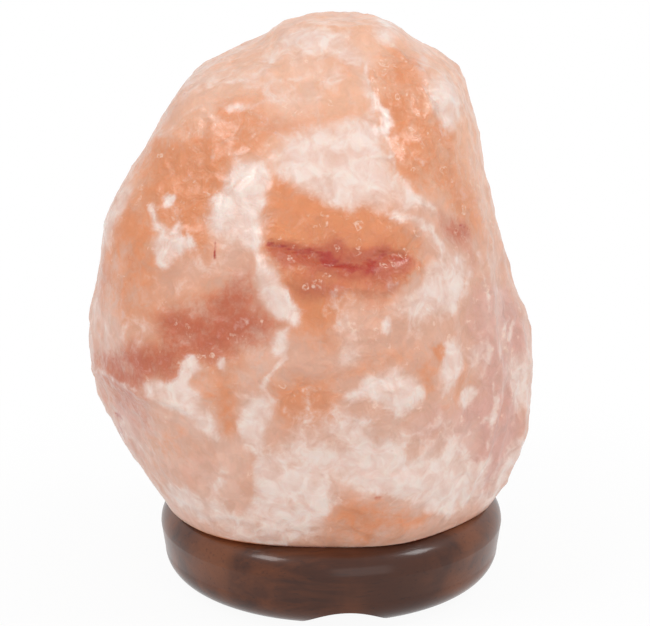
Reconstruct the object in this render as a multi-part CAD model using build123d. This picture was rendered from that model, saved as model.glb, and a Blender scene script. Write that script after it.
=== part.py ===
from build123d import *
import math
import os

# Salt crystal lamp, in millimetres. Z is up, and the origin is on the base's axis, on the
# table under the felt. The cable channel opens towards -Y. The rock's front is turned a
# little from there, as it was screwed on.

# ---- Turned wooden base and its felt ----
PAD_THICKNESS = 1.5
PAD_MARGIN = 1.5            # felt kept back from the recess and from the rounded foot
BASE_RADIUS = 55.0
BASE_HEIGHT = 26.0
BASE_SHOULDER = 8.5         # radius of the rounded top edge
BASE_TAPER = 1.2            # the side draws in by this towards the foot
BASE_FOOT_DRAW = 10.8       # width of the rounding at the foot
BASE_FOOT_RISE = 9.4        # and its height
BORE_RADIUS = 21.0          # way through for bulb, lampholder and clips
RECESS_RADIUS = 30.0        # wide pocket underneath for the plate and the cord
RECESS_DEPTH = 14.0
CHANNEL_WIDTH = 29.0        # arched cable channel under the foot
CHANNEL_HEIGHT = 6.2
CHANNEL_RELIEF = 1.5        # felt kept back from each edge of the channel

# ---- Salt crystal ----
CRYSTAL_HEIGHT = 153.5
CRYSTAL_WIDTH = 141.0
CRYSTAL_DEPTH = 124.0
CRYSTAL_TURN = -5.0         # degrees round Z
CRYSTAL_SQUARENESS = 2.3    # 2 is a round section, more is squarer
CRYSTAL_EDGE_POWER = 16     # how sharp the edges between broken faces are
CRYSTAL_LEAST_REACH = 1.0   # no broken face cuts nearer to a ring's middle than this
CRYSTAL_LEAST_AHEAD = 0.001     # a face that looks away further than this trims nothing
CRYSTAL_RING_POINTS = 64
CRYSTAL_RING_STEPS = 34     # rings that the skin runs through, less one
CRYSTAL_RING_CROWDING = 1.15        # above 1, they stand closer towards the peak
CRYSTAL_BORE_RADIUS = 23.0
CRYSTAL_BORE_DEPTH = 95.0
DRILL_POINT_DEPTH = 6.0     # cone that the drill leaves at the end of the bore

# Rings of the rock from its foot to its peak: height, as a share of CRYSTAL_HEIGHT, then how
# far it reaches to the left and right, as shares of CRYSTAL_WIDTH, and to the front and
# back, as shares of CRYSTAL_DEPTH.
ROCK_RINGS = [
    (0.000, 0.380, 0.370, 0.395, 0.380),
    (0.026, 0.398, 0.392, 0.415, 0.403),
    (0.065, 0.430, 0.416, 0.440, 0.431),
    (0.143, 0.503, 0.449, 0.476, 0.468),
    (0.235, 0.546, 0.456, 0.500, 0.492),
    (0.326, 0.553, 0.456, 0.508, 0.500),
    (0.430, 0.537, 0.419, 0.500, 0.500),
    (0.534, 0.518, 0.386, 0.478, 0.492),
    (0.638, 0.518, 0.360, 0.437, 0.476),
    (0.723, 0.466, 0.336, 0.379, 0.450),
    (0.801, 0.424, 0.329, 0.315, 0.411),
    (0.860, 0.380, 0.322, 0.250, 0.363),
    (0.912, 0.264, 0.260, 0.177, 0.298),
    (0.955, 0.158, 0.180, 0.110, 0.232),
    (0.984, 0.109, 0.139, 0.071, 0.189),
    (1.000, 0.066, 0.103, 0.035, 0.148),
]
# Broken faces of the rock: where each looks (degrees round from the right, then degrees up)
# and its distance from the rock's middle, as a share of CRYSTAL_HEIGHT.
ROCK_MIDDLE = (-0.033, 0.0, 0.456)
ROCK_FACES = [
    (-115, 22, 0.381),      # front, high on the left
    (-88, 38, 0.391),       # front, leaning back to the peak
    (-38, 12, 0.375),       # the broad face on the right
    (-12, 30, 0.459),       # chip at the right shoulder
    (172, 32, 0.446),       # left shoulder
    (-150, -18, 0.469),     # smooth undercut face, low on the left
    (-95, -12, 0.423),      # low front
    (-42, -16, 0.466),      # low right
    (135, 14, 0.404),       # back left
    (48, 12, 0.391),        # back right
    (95, 42, 0.463),        # back, leaning to the peak
    (100, -14, 0.423),      # low back
]
# Lumps and hollows on the rock: degrees round from the right and height, then half width,
# half height, lean in degrees (top to the left, seen from outside) and how far it stands
# out. The lengths are shares of CRYSTAL_HEIGHT.
ROCK_LUMPS = [
    (-79, 0.658, 0.111, 0.052, 0, -0.0117),     # front: hollow above the crack
    (-80, 0.782, 0.104, 0.046, 0, 0.0052),
    (-74, 0.616, 0.117, 0.023, -3, -0.0078),    # the crack itself
    (-74, 0.567, 0.137, 0.036, 0, 0.0117),      # ledge under it
    (-57, 0.782, 0.026, 0.169, 23, 0.0104),     # ridge from the peak down to the right
    (-38, 0.808, 0.052, 0.117, 15, -0.0065),
    (-27, 0.866, 0.039, 0.078, 10, 0.0052),     # chipped shoulder
    (-40, 0.541, 0.059, 0.059, 0, 0.0098),
    (-26, 0.391, 0.029, 0.221, -9, 0.0117),     # long rib on the right
    (-14, 0.391, 0.026, 0.143, -6, -0.0078),
    (-37, 0.378, 0.033, 0.117, -6, -0.0065),
    (-3, 0.404, 0.039, 0.039, 0, 0.0078),       # lobes down the right edge
    (-6, 0.300, 0.033, 0.033, 0, 0.0078),
    (-12, 0.169, 0.039, 0.046, 0, 0.0098),
    (-128, 0.208, 0.111, 0.078, 0, -0.0104),    # smooth hollow face, low on the left
    (-150, 0.310, 0.156, 0.026, 2, 0.0085),     # its upper edge
    (-118, 0.195, 0.026, 0.124, 15, 0.0085),    # its right edge
    (-78, 0.130, 0.156, 0.059, 0, 0.0078),
    (-118, 0.469, 0.130, 0.072, 12, -0.0104),
    (-137, 0.606, 0.046, 0.065, 0, 0.0078),
    (-151, 0.599, 0.033, 0.078, 0, -0.0052),
    (-97, 0.550, 0.026, 0.078, 15, 0.0065),
    (-65, 0.495, 0.059, 0.046, 0, 0.0059),
    (-62, 0.352, 0.065, 0.046, 0, 0.0059),
    (-82, 0.378, 0.059, 0.046, 0, -0.0052),
    (-96, 0.300, 0.059, 0.059, 0, 0.0052),
    (-140, 0.756, 0.117, 0.091, 0, -0.0078),
    (-150, 0.893, 0.039, 0.033, 0, 0.0065),
    (160, 0.469, 0.078, 0.104, 0, -0.0085),     # left side and back
    (158, 0.235, 0.078, 0.059, 0, 0.0078),
    (152, 0.730, 0.078, 0.078, 0, 0.0078),
    (138, 0.400, 0.029, 0.195, 12, 0.0104),
    (120, 0.599, 0.104, 0.085, 0, -0.0104),
    (116, 0.260, 0.117, 0.078, -10, -0.0098),
    (95, 0.430, 0.130, 0.029, 15, 0.0104),
    (90, 0.730, 0.091, 0.078, 0, -0.0091),
    (76, 0.163, 0.104, 0.059, 0, 0.0085),
    (62, 0.534, 0.029, 0.169, -14, 0.0104),
    (44, 0.358, 0.091, 0.085, 0, -0.0098),
    (40, 0.691, 0.085, 0.072, 0, -0.0085),
    (26, 0.221, 0.091, 0.059, 0, 0.0078),
    (22, 0.534, 0.039, 0.104, 8, 0.0085),
    (100, 0.899, 0.078, 0.033, 0, 0.0052),
]

# ---- Wood screws between base and rock ----
SCREW_COUNT = 3
SCREW_FIRST_ANGLE = 90.0
SCREW_CIRCLE_RADIUS = 37.0
SCREW_RADIUS = 1.9
SCREW_BITE = 15.0           # length of screw in the salt
SCREW_HEAD_RADIUS = 4.0
SCREW_HEAD_HEIGHT = 2.8
SCREW_COUNTERBORE_RADIUS = 4.8
SCREW_COUNTERBORE_DEPTH = 8.0
SCREW_HOLE_CLEARANCE = 0.1
SCREW_CROWN_SHARE = 0.7     # radius of the head's flat crown, as a share of the head's
SCREW_BEVEL_SHARE = 0.4     # height of its bevel, as a share of the head's
SCREW_DRIVE_WIDTH = 1.0     # cross recess: width of its arms
SCREW_DRIVE_REACH_SHARE = 0.6   # their length, as a share of the head's radius
SCREW_DRIVE_DEPTH_SHARE = 0.5   # and their depth, as a share of the head's height

# ---- Steel plate that carries the lampholder ----
SEAT_GAP = 0.1              # play between the plate and the base
PLATE_RADIUS = 27.0
PLATE_THICKNESS = 1.0

# ---- Lampholder mouldings ----
HOLDER_RADIUS = 13.5
HOLDER_HEIGHT = 28.6        # above the plate's underside
HOLDER_CAVITY_RADIUS = 11.0
HOLDER_MOUTH_RADIUS = 8.8
HOLDER_LIP = 2.0
HOLDER_FLANGE_RADIUS = 16.0
HOLDER_FLANGE_THICKNESS = 3.0
HOLDER_FLOOR = 2.6          # floor of the cavity above the plate's underside
FIT_CLEARANCE = 0.1         # radial play of fixed pieces in their holes
NUT_THICKNESS = 2.0         # radial
NUT_HEIGHT = 4.6
NUT_NOTCHES = 12
NUT_NOTCH_RADIUS = 0.9
CAP_WALL = 1.6
CAP_FLOOR = 1.4
CAP_CLEARANCE = 1.0         # height of the cover above the table
CAP_SCREW_RADIUS = 1.2
CAP_SCREW_PLACE = (11.2, 4.6)
CAP_SCREW_HEAD_RADIUS = 2.0
CAP_SCREW_HEAD_HEIGHT = 1.6
CAP_SCREW_SLOT_WIDTH = 0.5
CAP_SCREW_SLOT_DEPTH = 0.7
CAP_SCREW_BITE = 3.4        # length of screw in the lampholder's flange
CAP_BOSS_RADIUS = 3.2
CAP_COUNTERBORE_DEPTH = 2.2

# ---- Cord inlet ----
GLAND_BORE_RADIUS = 2.75
GLAND_WALL = 0.75
GLAND_AXIS_HEIGHT = 4.9
GLAND_LENGTH = 7.0
GLAND_INSIDE = 3.5          # how much of it is behind the cover's outside
GLAND_FLANGE_RADIUS = 3.85
GLAND_FLANGE_THICKNESS = 1.2

# ---- Contacts and terminals ----
CARRIER_THICKNESS = 4.0
CARRIER_BOSS_RADIUS = 8.8
CARRIER_BOSS_DEPTH = 5.0
CONTACT_THICKNESS = 0.8
CONTACT_WIDTH = 3.4
CONTACT_DOME_RADIUS = 3.0
CONTACT_DOME_HEIGHT = 1.0
CENTRE_RIVET_RADIUS = 1.4
SIDE_RIVET_RADIUS = 0.9
SIDE_RIVET_PLACE = -6.0
BUTTON_EDGE_SHARE = 0.4     # a domed contact: height of its edge, as a share of its height
BUTTON_CROWN_SHARE = 0.6    # and radius of its crown, as a share of its radius
TERMINAL_PLACE = (5.0, 3.0)
TERMINAL_SIZE = (4.4, 4.5, 5.6)
TERMINAL_WIRE_RADIUS = 1.1
TERMINAL_WIRE_SHARE = 0.4   # depth of the wire hole below the block's top, as a share
TERMINAL_SCREW_RADIUS = 0.9
TERMINAL_SCREW_LENGTH = 1.4
TERMINAL_HEAD_RADIUS = 1.6
TERMINAL_HEAD_HEIGHT = 1.2
TERMINAL_SLOT_WIDTH = 0.4

# ---- Small Edison thread (E14) ----
THREAD_PITCH = 2.822
THREAD_MAJOR_RADIUS = 6.95
THREAD_ROOT_RADIUS = 6.15
THREAD_PLAY = 0.15          # radial play of the bulb in the screw shell
THREAD_RIDGE_BASE = 1.7     # width of the ridge at its root
THREAD_RIDGE_CREST = 0.8    # and at its crest
THREAD_ANCHOR = 0.3         # how deep a ridge is rooted in its wall
SHELL_WALL = 0.6
SHELL_HEIGHT = 17.5
SHELL_RIM_INNER_RADIUS = 4.6
SHELL_THREAD_START = 3.0    # above the shell's foot

# ---- Spring clips ----
CLIP_PIN_PLACE = 17.7
CLIP_PIN_HEIGHT = 2.2       # above the plate
CLIP_PIN_RADIUS = 1.0
CLIP_PIN_PLAY = 0.05
CLIP_THICKNESS = 0.6
CLIP_WIDTH = 7.0
CLIP_EYE_WIDTH = 5.0
CLIP_WALL_GAP = 0.3         # between the clip's bow and the bore
CLIP_BOW_HEIGHT = 10.0      # of the bow above the plate
CLIP_TIP_HEIGHT = 16.5
CLIP_TIP_INSET = 2.9        # of the tip from the bow
EAR_THICKNESS = 1.0
EAR_HALF_WIDTH = 1.5
EAR_TOP = 1.5               # of the ear above the pin's axis
EAR_GAP = 0.3
PIN_HEAD_RADIUS = 1.4
PIN_HEAD_THICKNESS = 0.5
SPRING_WIRE_RADIUS = 0.3
SPRING_TURNS = 3
SPRING_PITCH = 0.75
SPRING_PLAY = 0.1

# ---- Pear-shaped bulb ----
BULB_CONTACT_GAP = 0.1
BULB_RADIUS = 12.5
BULB_LENGTH = 57.5          # from the tip contact to the crown
BULB_NECK_RADIUS = 5.85
BULB_NECK_FLARE = 0.35      # how fast the neck opens above the cap, per unit of height
BULB_WALL = 0.5
BULB_CAP_WALL = 0.3
BULB_CAP_START = 3.6        # height of the brass cap's edge above the tip
BULB_CAP_HEIGHT = 17.2
BULB_CAP_RIM_RADIUS = 6.9
BULB_CAP_RIM_HEIGHT = 2.6
BULB_THREAD_START = 4.6     # above the tip
BULB_THREAD_LENGTH = 11.0
BULB_TIP_RADIUS = 2.5
BULB_TIP_HEIGHT = 1.0
BULB_INSULATOR_TOP_RADIUS = 5.7
BULB_INSULATOR_RIM = 0.5    # insulator that shows round the tip
BULB_INSULATOR_LAP = 1.0    # how far the insulator stands inside the cap
STEM_RADIUS = 1.5
STEM_HEIGHT = 14.0
STEM_FLARE_HEIGHT = 4.0
LEAD_RADIUS = 0.25
LEAD_ROOT = 1.0
LEAD_SPREAD = 5.0
LEAD_RISE = 9.0
FILAMENT_COIL_RADIUS = 0.6
FILAMENT_WIRE_RADIUS = 0.12
FILAMENT_PITCH = 0.7

# ---- Levels worked out from the sizes above ----
BASE_FOOT_Z = PAD_THICKNESS
BASE_TOP_Z = BASE_FOOT_Z + BASE_HEIGHT
RECESS_TOP_Z = BASE_FOOT_Z + RECESS_DEPTH
PLATE_TOP_Z = RECESS_TOP_Z - SEAT_GAP
PLATE_FOOT_Z = PLATE_TOP_Z - PLATE_THICKNESS
FLANGE_FOOT_Z = PLATE_FOOT_Z - HOLDER_FLANGE_THICKNESS
HOLDER_FLOOR_Z = PLATE_FOOT_Z + HOLDER_FLOOR
HOLDER_TOP_Z = PLATE_FOOT_Z + HOLDER_HEIGHT
CARRIER_TOP_Z = HOLDER_FLOOR_Z + CARRIER_THICKNESS
CARRIER_FOOT_Z = HOLDER_FLOOR_Z - CARRIER_BOSS_DEPTH
STRIP_FOOT_Z = CARRIER_FOOT_Z - CONTACT_THICKNESS
TERMINAL_FOOT_Z = STRIP_FOOT_Z - TERMINAL_SIZE[2]
BULB_FOOT_Z = CARRIER_TOP_Z + CONTACT_DOME_HEIGHT + BULB_CONTACT_GAP
BULB_TOP_Z = BULB_FOOT_Z + BULB_LENGTH
BULB_CAP_FOOT_Z = BULB_FOOT_Z + BULB_CAP_START
BULB_CAP_TOP_Z = BULB_CAP_FOOT_Z + BULB_CAP_HEIGHT
BULB_THREAD_Z = BULB_FOOT_Z + BULB_THREAD_START
SHELL_BORE_RADIUS = THREAD_MAJOR_RADIUS + THREAD_PLAY
SHELL_RADIUS = SHELL_BORE_RADIUS + SHELL_WALL
CLIP_PIN_Z = PLATE_TOP_Z + CLIP_PIN_HEIGHT
SCREW_SEAT_Z = BASE_FOOT_Z + SCREW_COUNTERBORE_DEPTH

UPRIGHT = (Align.CENTER, Align.CENTER, Align.MIN)
CUT_MARGIN = 1.0            # how far a cutter passes the face that it opens


# ---------------------------------------------------------------- small builders
def rod(radius, low, high, x=0.0, y=0.0):
    """A round bar that stands on Z from one level to another."""
    return Pos(x, y, low) * Cylinder(radius, high - low, align=UPRIGHT)


def ring(outer, inner, low, high):
    """A round bar on the lamp's axis with a hole through it."""
    return rod(outer, low, high) - rod(inner, low - CUT_MARGIN, high + CUT_MARGIN)


def rod_along_y(radius, start, end, x, z):
    """A round bar that lies along Y."""
    middle = (start + end) / 2
    return Pos(x, middle, z) * Rot(90, 0, 0) * Cylinder(radius, abs(end - start))


def block(x_range, y_range, z_range):
    """A box between two limits on each axis."""
    size = [high - low for low, high in (x_range, y_range, z_range)]
    middle = [(high + low) / 2 for low, high in (x_range, y_range, z_range)]
    return Pos(*middle) * Box(*size)


def turned(*outline):
    """A solid turned round Z from edges drawn in radius and height."""
    face = make_face([edge for line in outline for edge in line.edges()])
    return revolve(Plane.XZ * face, Axis.Z)


def turned_polygon(points):
    """A solid turned round Z from straight lines in radius and height."""
    return turned(Polyline(*points, close=True))


def button(radius, seat, crown):
    """A low domed contact from its seat to its crown, which may lie above it or below."""
    edge = seat + (crown - seat) * BUTTON_EDGE_SHARE
    return turned_polygon([(0, seat), (radius, seat), (radius, edge),
                           (radius * BUTTON_CROWN_SHARE, crown), (0, crown)])


def both_sides(piece):
    """The piece and its copy half a turn round Z."""
    return piece + Rot(0, 0, 180) * piece


# ---------------------------------------------------------------- base
def base_body():
    """The turned wood: rounded foot, slightly flared side, rounded top edge."""
    foot_radius = BASE_RADIUS - BASE_TAPER - BASE_FOOT_DRAW
    shoulder_z = BASE_TOP_Z - BASE_SHOULDER
    foot_top = (BASE_RADIUS - BASE_TAPER, BASE_FOOT_Z + BASE_FOOT_RISE)
    flat = (BASE_RADIUS - BASE_SHOULDER, BASE_TOP_Z)
    foot = EllipticalCenterArc((foot_radius, foot_top[1]), BASE_FOOT_DRAW, BASE_FOOT_RISE,
                               start_angle=270, arc_size=90)
    side = Line(foot_top, (BASE_RADIUS, shoulder_z))
    shoulder = CenterArc((flat[0], shoulder_z), BASE_SHOULDER, 0, 90)
    inside = Polyline(flat, (BORE_RADIUS, BASE_TOP_Z), (BORE_RADIUS, RECESS_TOP_Z),
                      (RECESS_RADIUS, RECESS_TOP_Z), (RECESS_RADIUS, BASE_FOOT_Z),
                      (foot_radius, BASE_FOOT_Z))
    return turned(foot, side, shoulder, inside)


def channel_cut():
    """The round cutter's path across the underside, from the recess to the front edge."""
    radius = (CHANNEL_WIDTH ** 2 / 4 + CHANNEL_HEIGHT ** 2) / (2 * CHANNEL_HEIGHT)
    axis_z = BASE_FOOT_Z + CHANNEL_HEIGHT - radius
    return rod_along_y(radius, -BASE_RADIUS - CUT_MARGIN, 0, 0, axis_z)


def screw_places():
    """Where the wood screws stand, round the bore."""
    step = 360.0 / SCREW_COUNT
    return [(SCREW_CIRCLE_RADIUS * math.cos(math.radians(SCREW_FIRST_ANGLE + k * step)),
             SCREW_CIRCLE_RADIUS * math.sin(math.radians(SCREW_FIRST_ANGLE + k * step)))
            for k in range(SCREW_COUNT)]


def wooden_base():
    body = base_body() - channel_cut()
    for x, y in screw_places():
        body -= rod(SCREW_COUNTERBORE_RADIUS, BASE_FOOT_Z - CUT_MARGIN, SCREW_SEAT_Z, x, y)
        body -= rod(SCREW_RADIUS + SCREW_HOLE_CLEARANCE, BASE_FOOT_Z, BASE_TOP_Z + CUT_MARGIN,
                    x, y)
    return body


def felt_pad():
    """The felt ring, open where the channel runs."""
    outer = BASE_RADIUS - BASE_TAPER - BASE_FOOT_DRAW - PAD_MARGIN
    half_gap = CHANNEL_WIDTH / 2 + CHANNEL_RELIEF
    gap = block((-half_gap, half_gap), (-BASE_RADIUS, 0),
                (-CUT_MARGIN, PAD_THICKNESS + CUT_MARGIN))
    return ring(outer, RECESS_RADIUS + PAD_MARGIN, 0, PAD_THICKNESS) - gap


def base_screws():
    """Pan-headed wood screws, driven up into the salt."""
    tip_z = BASE_TOP_Z + SCREW_BITE
    head_z = SCREW_SEAT_Z - SCREW_HEAD_HEIGHT
    screw = turned_polygon([(0, head_z), (SCREW_HEAD_RADIUS * SCREW_CROWN_SHARE, head_z),
                            (SCREW_HEAD_RADIUS, head_z + SCREW_HEAD_HEIGHT * SCREW_BEVEL_SHARE),
                            (SCREW_HEAD_RADIUS, SCREW_SEAT_Z), (SCREW_RADIUS, SCREW_SEAT_Z),
                            (SCREW_RADIUS, tip_z - 2 * SCREW_RADIUS), (0, tip_z)])
    half = SCREW_DRIVE_WIDTH / 2
    reach = SCREW_HEAD_RADIUS * SCREW_DRIVE_REACH_SHARE
    depth = head_z + SCREW_HEAD_HEIGHT * SCREW_DRIVE_DEPTH_SHARE
    screw -= block((-reach, reach), (-half, half), (head_z - CUT_MARGIN, depth))
    screw -= block((-half, half), (-reach, reach), (head_z - CUT_MARGIN, depth))
    return Compound([Pos(x, y, 0) * screw for x, y in screw_places()])


# ---------------------------------------------------------------- salt crystal
def face_distance(face, centre, direction):
    """How far a broken face lies from a point, along a level direction, if it is ahead."""
    around, up = math.radians(face[0]), math.radians(face[1])
    normal = (math.cos(up) * math.cos(around), math.cos(up) * math.sin(around), math.sin(up))
    ahead = normal[0] * direction[0] + normal[1] * direction[1]
    if ahead < CRYSTAL_LEAST_AHEAD:
        return None
    offset = sum(n * (c - CRYSTAL_HEIGHT * m) for n, c, m in zip(normal, centre, ROCK_MIDDLE))
    return (CRYSTAL_HEIGHT * face[2] - offset) / ahead


def ring_slope(k, side):
    """How fast one side moves out with height at a listed ring: the harmonic mean of the
    slopes below and above it, or none where they turn round."""
    slopes = [(high[side] - low[side]) / (high[0] - low[0])
              for low, high in zip(ROCK_RINGS, ROCK_RINGS[1:])]
    below, above = slopes[max(k - 1, 0)], slopes[min(k, len(slopes) - 1)]
    return 2 * below * above / (below + above) if below * above > 0 else 0.0


def ring_sizes(share):
    """The ring at any height: cubics through the listed rings, which don't overshoot them."""
    k = max(i for i, ring in enumerate(ROCK_RINGS[:-1]) if ring[0] <= share)
    low, high = ROCK_RINGS[k], ROCK_RINGS[k + 1]
    gap = high[0] - low[0]
    t = (share - low[0]) / gap
    sizes = [share]
    for side in range(1, len(low)):
        sizes.append((2 * t ** 3 - 3 * t ** 2 + 1) * low[side]
                     + (t ** 3 - 2 * t ** 2 + t) * gap * ring_slope(k, side)
                     + (3 * t ** 2 - 2 * t ** 3) * high[side]
                     + (t ** 3 - t ** 2) * gap * ring_slope(k + 1, side))
    return sizes


def lump_height(share, angle, reach):
    """How far the lumps and hollows lift the skin at one place."""
    total = 0.0
    for around, height, half_width, half_height, lean, relief in ROCK_LUMPS:
        turned_by = math.remainder(angle - math.radians(around), 2 * math.pi)
        across, up = turned_by * reach / CRYSTAL_HEIGHT, share - height
        c, s = math.cos(math.radians(lean)), math.sin(math.radians(lean))
        total += relief * math.exp(-((across * c + up * s) / half_width) ** 2
                                   - ((up * c - across * s) / half_height) ** 2)
    return CRYSTAL_HEIGHT * total


def ring_point(share, angle):
    """One point of a ring: a rounded section, trimmed by every broken face it meets, with
    its lumps."""
    left, right, front, back = ring_sizes(share)[1:]
    centre = (CRYSTAL_WIDTH * (right - left) / 2, CRYSTAL_DEPTH * (back - front) / 2,
              CRYSTAL_HEIGHT * share)
    across = CRYSTAL_WIDTH * (right + left) / 2
    along = CRYSTAL_DEPTH * (back + front) / 2
    direction = (math.cos(angle), math.sin(angle))
    n = CRYSTAL_SQUARENESS
    section = (abs(direction[0] / across) ** n + abs(direction[1] / along) ** n) ** (-1 / n)
    blend = section ** -CRYSTAL_EDGE_POWER
    for face in ROCK_FACES:
        distance = face_distance(face, centre, direction)
        if distance is not None:
            blend += max(distance, CRYSTAL_LEAST_REACH) ** -CRYSTAL_EDGE_POWER
    reach = blend ** (-1 / CRYSTAL_EDGE_POWER)
    reach += lump_height(share, angle, reach)
    return (centre[0] + reach * direction[0], centre[1] + reach * direction[1],
            BASE_TOP_Z + centre[2])


def rock_body():
    """The rock as one smooth skin through its rings."""
    wires = []
    for step in range(CRYSTAL_RING_STEPS + 1):
        share = 1 - (1 - step / CRYSTAL_RING_STEPS) ** CRYSTAL_RING_CROWDING
        points = [ring_point(share, 2 * math.pi * k / CRYSTAL_RING_POINTS)
                  for k in range(CRYSTAL_RING_POINTS)]
        wires.append(Wire([Edge.make_spline(points, periodic=True)]))
    return Rot(0, 0, CRYSTAL_TURN) * Solid.make_loft(wires)


def salt_crystal():
    bore_foot, bore_top = BASE_TOP_Z - CUT_MARGIN, BASE_TOP_Z + CRYSTAL_BORE_DEPTH
    bore = turned_polygon([(0, bore_foot), (CRYSTAL_BORE_RADIUS, bore_foot),
                           (CRYSTAL_BORE_RADIUS, bore_top), (0, bore_top + DRILL_POINT_DEPTH)])
    rock = rock_body() - bore
    for x, y in screw_places():
        rock -= rod(SCREW_RADIUS + SCREW_HOLE_CLEARANCE, bore_foot,
                    BASE_TOP_Z + SCREW_BITE + SCREW_HOLE_CLEARANCE, x, y)
    return rock


# ---------------------------------------------------------------- lampholder
def ear_spans():
    """Where along Y the clip's two ears stand: either side of its eye and its spring."""
    near = CLIP_EYE_WIDTH / 2 + EAR_GAP
    spring = SPRING_TURNS * SPRING_PITCH + 2 * SPRING_WIRE_RADIUS
    far = near + spring + EAR_GAP
    return (-near - EAR_THICKNESS, -near), (far, far + EAR_THICKNESS)


def holder_plate():
    """The stamped disc with the ears that carry the clips' pins."""
    plate = ring(PLATE_RADIUS, HOLDER_RADIUS + FIT_CLEARANCE, PLATE_FOOT_Z, PLATE_TOP_Z)
    hole = rod_along_y(CLIP_PIN_RADIUS, -PLATE_RADIUS, PLATE_RADIUS, CLIP_PIN_PLACE, CLIP_PIN_Z)
    across = (CLIP_PIN_PLACE - EAR_HALF_WIDTH, CLIP_PIN_PLACE + EAR_HALF_WIDTH)
    for span in ear_spans():
        ear = block(across, span, (PLATE_TOP_Z, CLIP_PIN_Z + EAR_TOP)) - hole
        plate += both_sides(ear)
    return plate


def flange_screw_holes(radius, low, high):
    """Two upright bars where the cover's screws stand."""
    x, y = CAP_SCREW_PLACE
    return rod(radius, low, high, x, y) + rod(radius, low, high, -x, y)


def lampholder_shell():
    """The outer moulding: a solid flange below the plate and a hollow tube above it."""
    lip_z = HOLDER_TOP_Z - HOLDER_LIP
    boss_hole = CARRIER_BOSS_RADIUS + FIT_CLEARANCE
    body = turned_polygon([(boss_hole, FLANGE_FOOT_Z), (HOLDER_FLANGE_RADIUS, FLANGE_FOOT_Z),
                           (HOLDER_FLANGE_RADIUS, PLATE_FOOT_Z), (HOLDER_RADIUS, PLATE_FOOT_Z),
                           (HOLDER_RADIUS, HOLDER_TOP_Z), (HOLDER_MOUTH_RADIUS, HOLDER_TOP_Z),
                           (HOLDER_MOUTH_RADIUS, lip_z), (HOLDER_CAVITY_RADIUS, lip_z),
                           (HOLDER_CAVITY_RADIUS, HOLDER_FLOOR_Z), (boss_hole, HOLDER_FLOOR_Z)])
    top = FLANGE_FOOT_Z + CAP_SCREW_BITE + FIT_CLEARANCE
    return body - flange_screw_holes(CAP_SCREW_RADIUS, FLANGE_FOOT_Z - CUT_MARGIN, top)


def shell_ring_nut():
    """The clamping ring over the plate, with finger notches round it."""
    inner = HOLDER_RADIUS + FIT_CLEARANCE
    outer = inner + NUT_THICKNESS
    nut = ring(outer, inner, PLATE_TOP_Z, PLATE_TOP_Z + NUT_HEIGHT)
    for k in range(NUT_NOTCHES):
        angle = math.radians(360.0 / NUT_NOTCHES * (k + 0.5))
        nut -= rod(NUT_NOTCH_RADIUS, PLATE_TOP_Z - CUT_MARGIN,
                   PLATE_TOP_Z + NUT_HEIGHT + CUT_MARGIN, outer * math.cos(angle),
                   outer * math.sin(angle))
    return nut


def lampholder_cap():
    """The cup over the terminals, with two screw bosses and the cord's side inlet."""
    inner = HOLDER_FLANGE_RADIUS - CAP_WALL
    cup = ring(HOLDER_FLANGE_RADIUS, inner, CAP_CLEARANCE, FLANGE_FOOT_Z)
    cup += rod(HOLDER_FLANGE_RADIUS, CAP_CLEARANCE, CAP_CLEARANCE + CAP_FLOOR)
    bosses = flange_screw_holes(CAP_BOSS_RADIUS, CAP_CLEARANCE, FLANGE_FOOT_Z)
    cup += bosses & rod(HOLDER_FLANGE_RADIUS, CAP_CLEARANCE, FLANGE_FOOT_Z)
    cup -= flange_screw_holes(CAP_SCREW_HEAD_RADIUS + FIT_CLEARANCE,
                              CAP_CLEARANCE - CUT_MARGIN, CAP_CLEARANCE + CAP_COUNTERBORE_DEPTH)
    cup -= flange_screw_holes(CAP_SCREW_RADIUS + FIT_CLEARANCE, CAP_CLEARANCE,
                              FLANGE_FOOT_Z + CUT_MARGIN)
    gland_hole = GLAND_BORE_RADIUS + GLAND_WALL + FIT_CLEARANCE
    cup -= rod_along_y(gland_hole, -HOLDER_FLANGE_RADIUS - CUT_MARGIN,
                       -HOLDER_FLANGE_RADIUS + GLAND_INSIDE + CUT_MARGIN, 0, GLAND_AXIS_HEIGHT)
    return cup


def cap_screws():
    """Two pan-headed screws up through the cover into the lampholder's flange."""
    seat = CAP_CLEARANCE + CAP_COUNTERBORE_DEPTH
    head = flange_screw_holes(CAP_SCREW_HEAD_RADIUS, seat - CAP_SCREW_HEAD_HEIGHT, seat)
    shank = flange_screw_holes(CAP_SCREW_RADIUS, seat, FLANGE_FOOT_Z + CAP_SCREW_BITE)
    x, y = CAP_SCREW_PLACE
    half = CAP_SCREW_SLOT_WIDTH / 2
    slot_top = seat - CAP_SCREW_HEAD_HEIGHT + CAP_SCREW_SLOT_DEPTH
    screws = head + shank
    for side in (-x, x):
        screws -= block((side - CAP_SCREW_HEAD_RADIUS, side + CAP_SCREW_HEAD_RADIUS),
                        (y - half, y + half), (0, slot_top))
    return screws


def cord_gland():
    """The bushing in the cover's side, with a flange outside it."""
    outer = GLAND_BORE_RADIUS + GLAND_WALL
    inner_end = -HOLDER_FLANGE_RADIUS + GLAND_INSIDE
    mouth = inner_end - GLAND_LENGTH
    z = GLAND_AXIS_HEIGHT
    flange_end = -HOLDER_FLANGE_RADIUS - FIT_CLEARANCE
    gland = rod_along_y(outer, mouth, inner_end, 0, z)
    gland += rod_along_y(GLAND_FLANGE_RADIUS, flange_end - GLAND_FLANGE_THICKNESS, flange_end,
                         0, z)
    return gland - rod_along_y(GLAND_BORE_RADIUS, mouth - CUT_MARGIN, inner_end + CUT_MARGIN, 0,
                               z)


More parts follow.
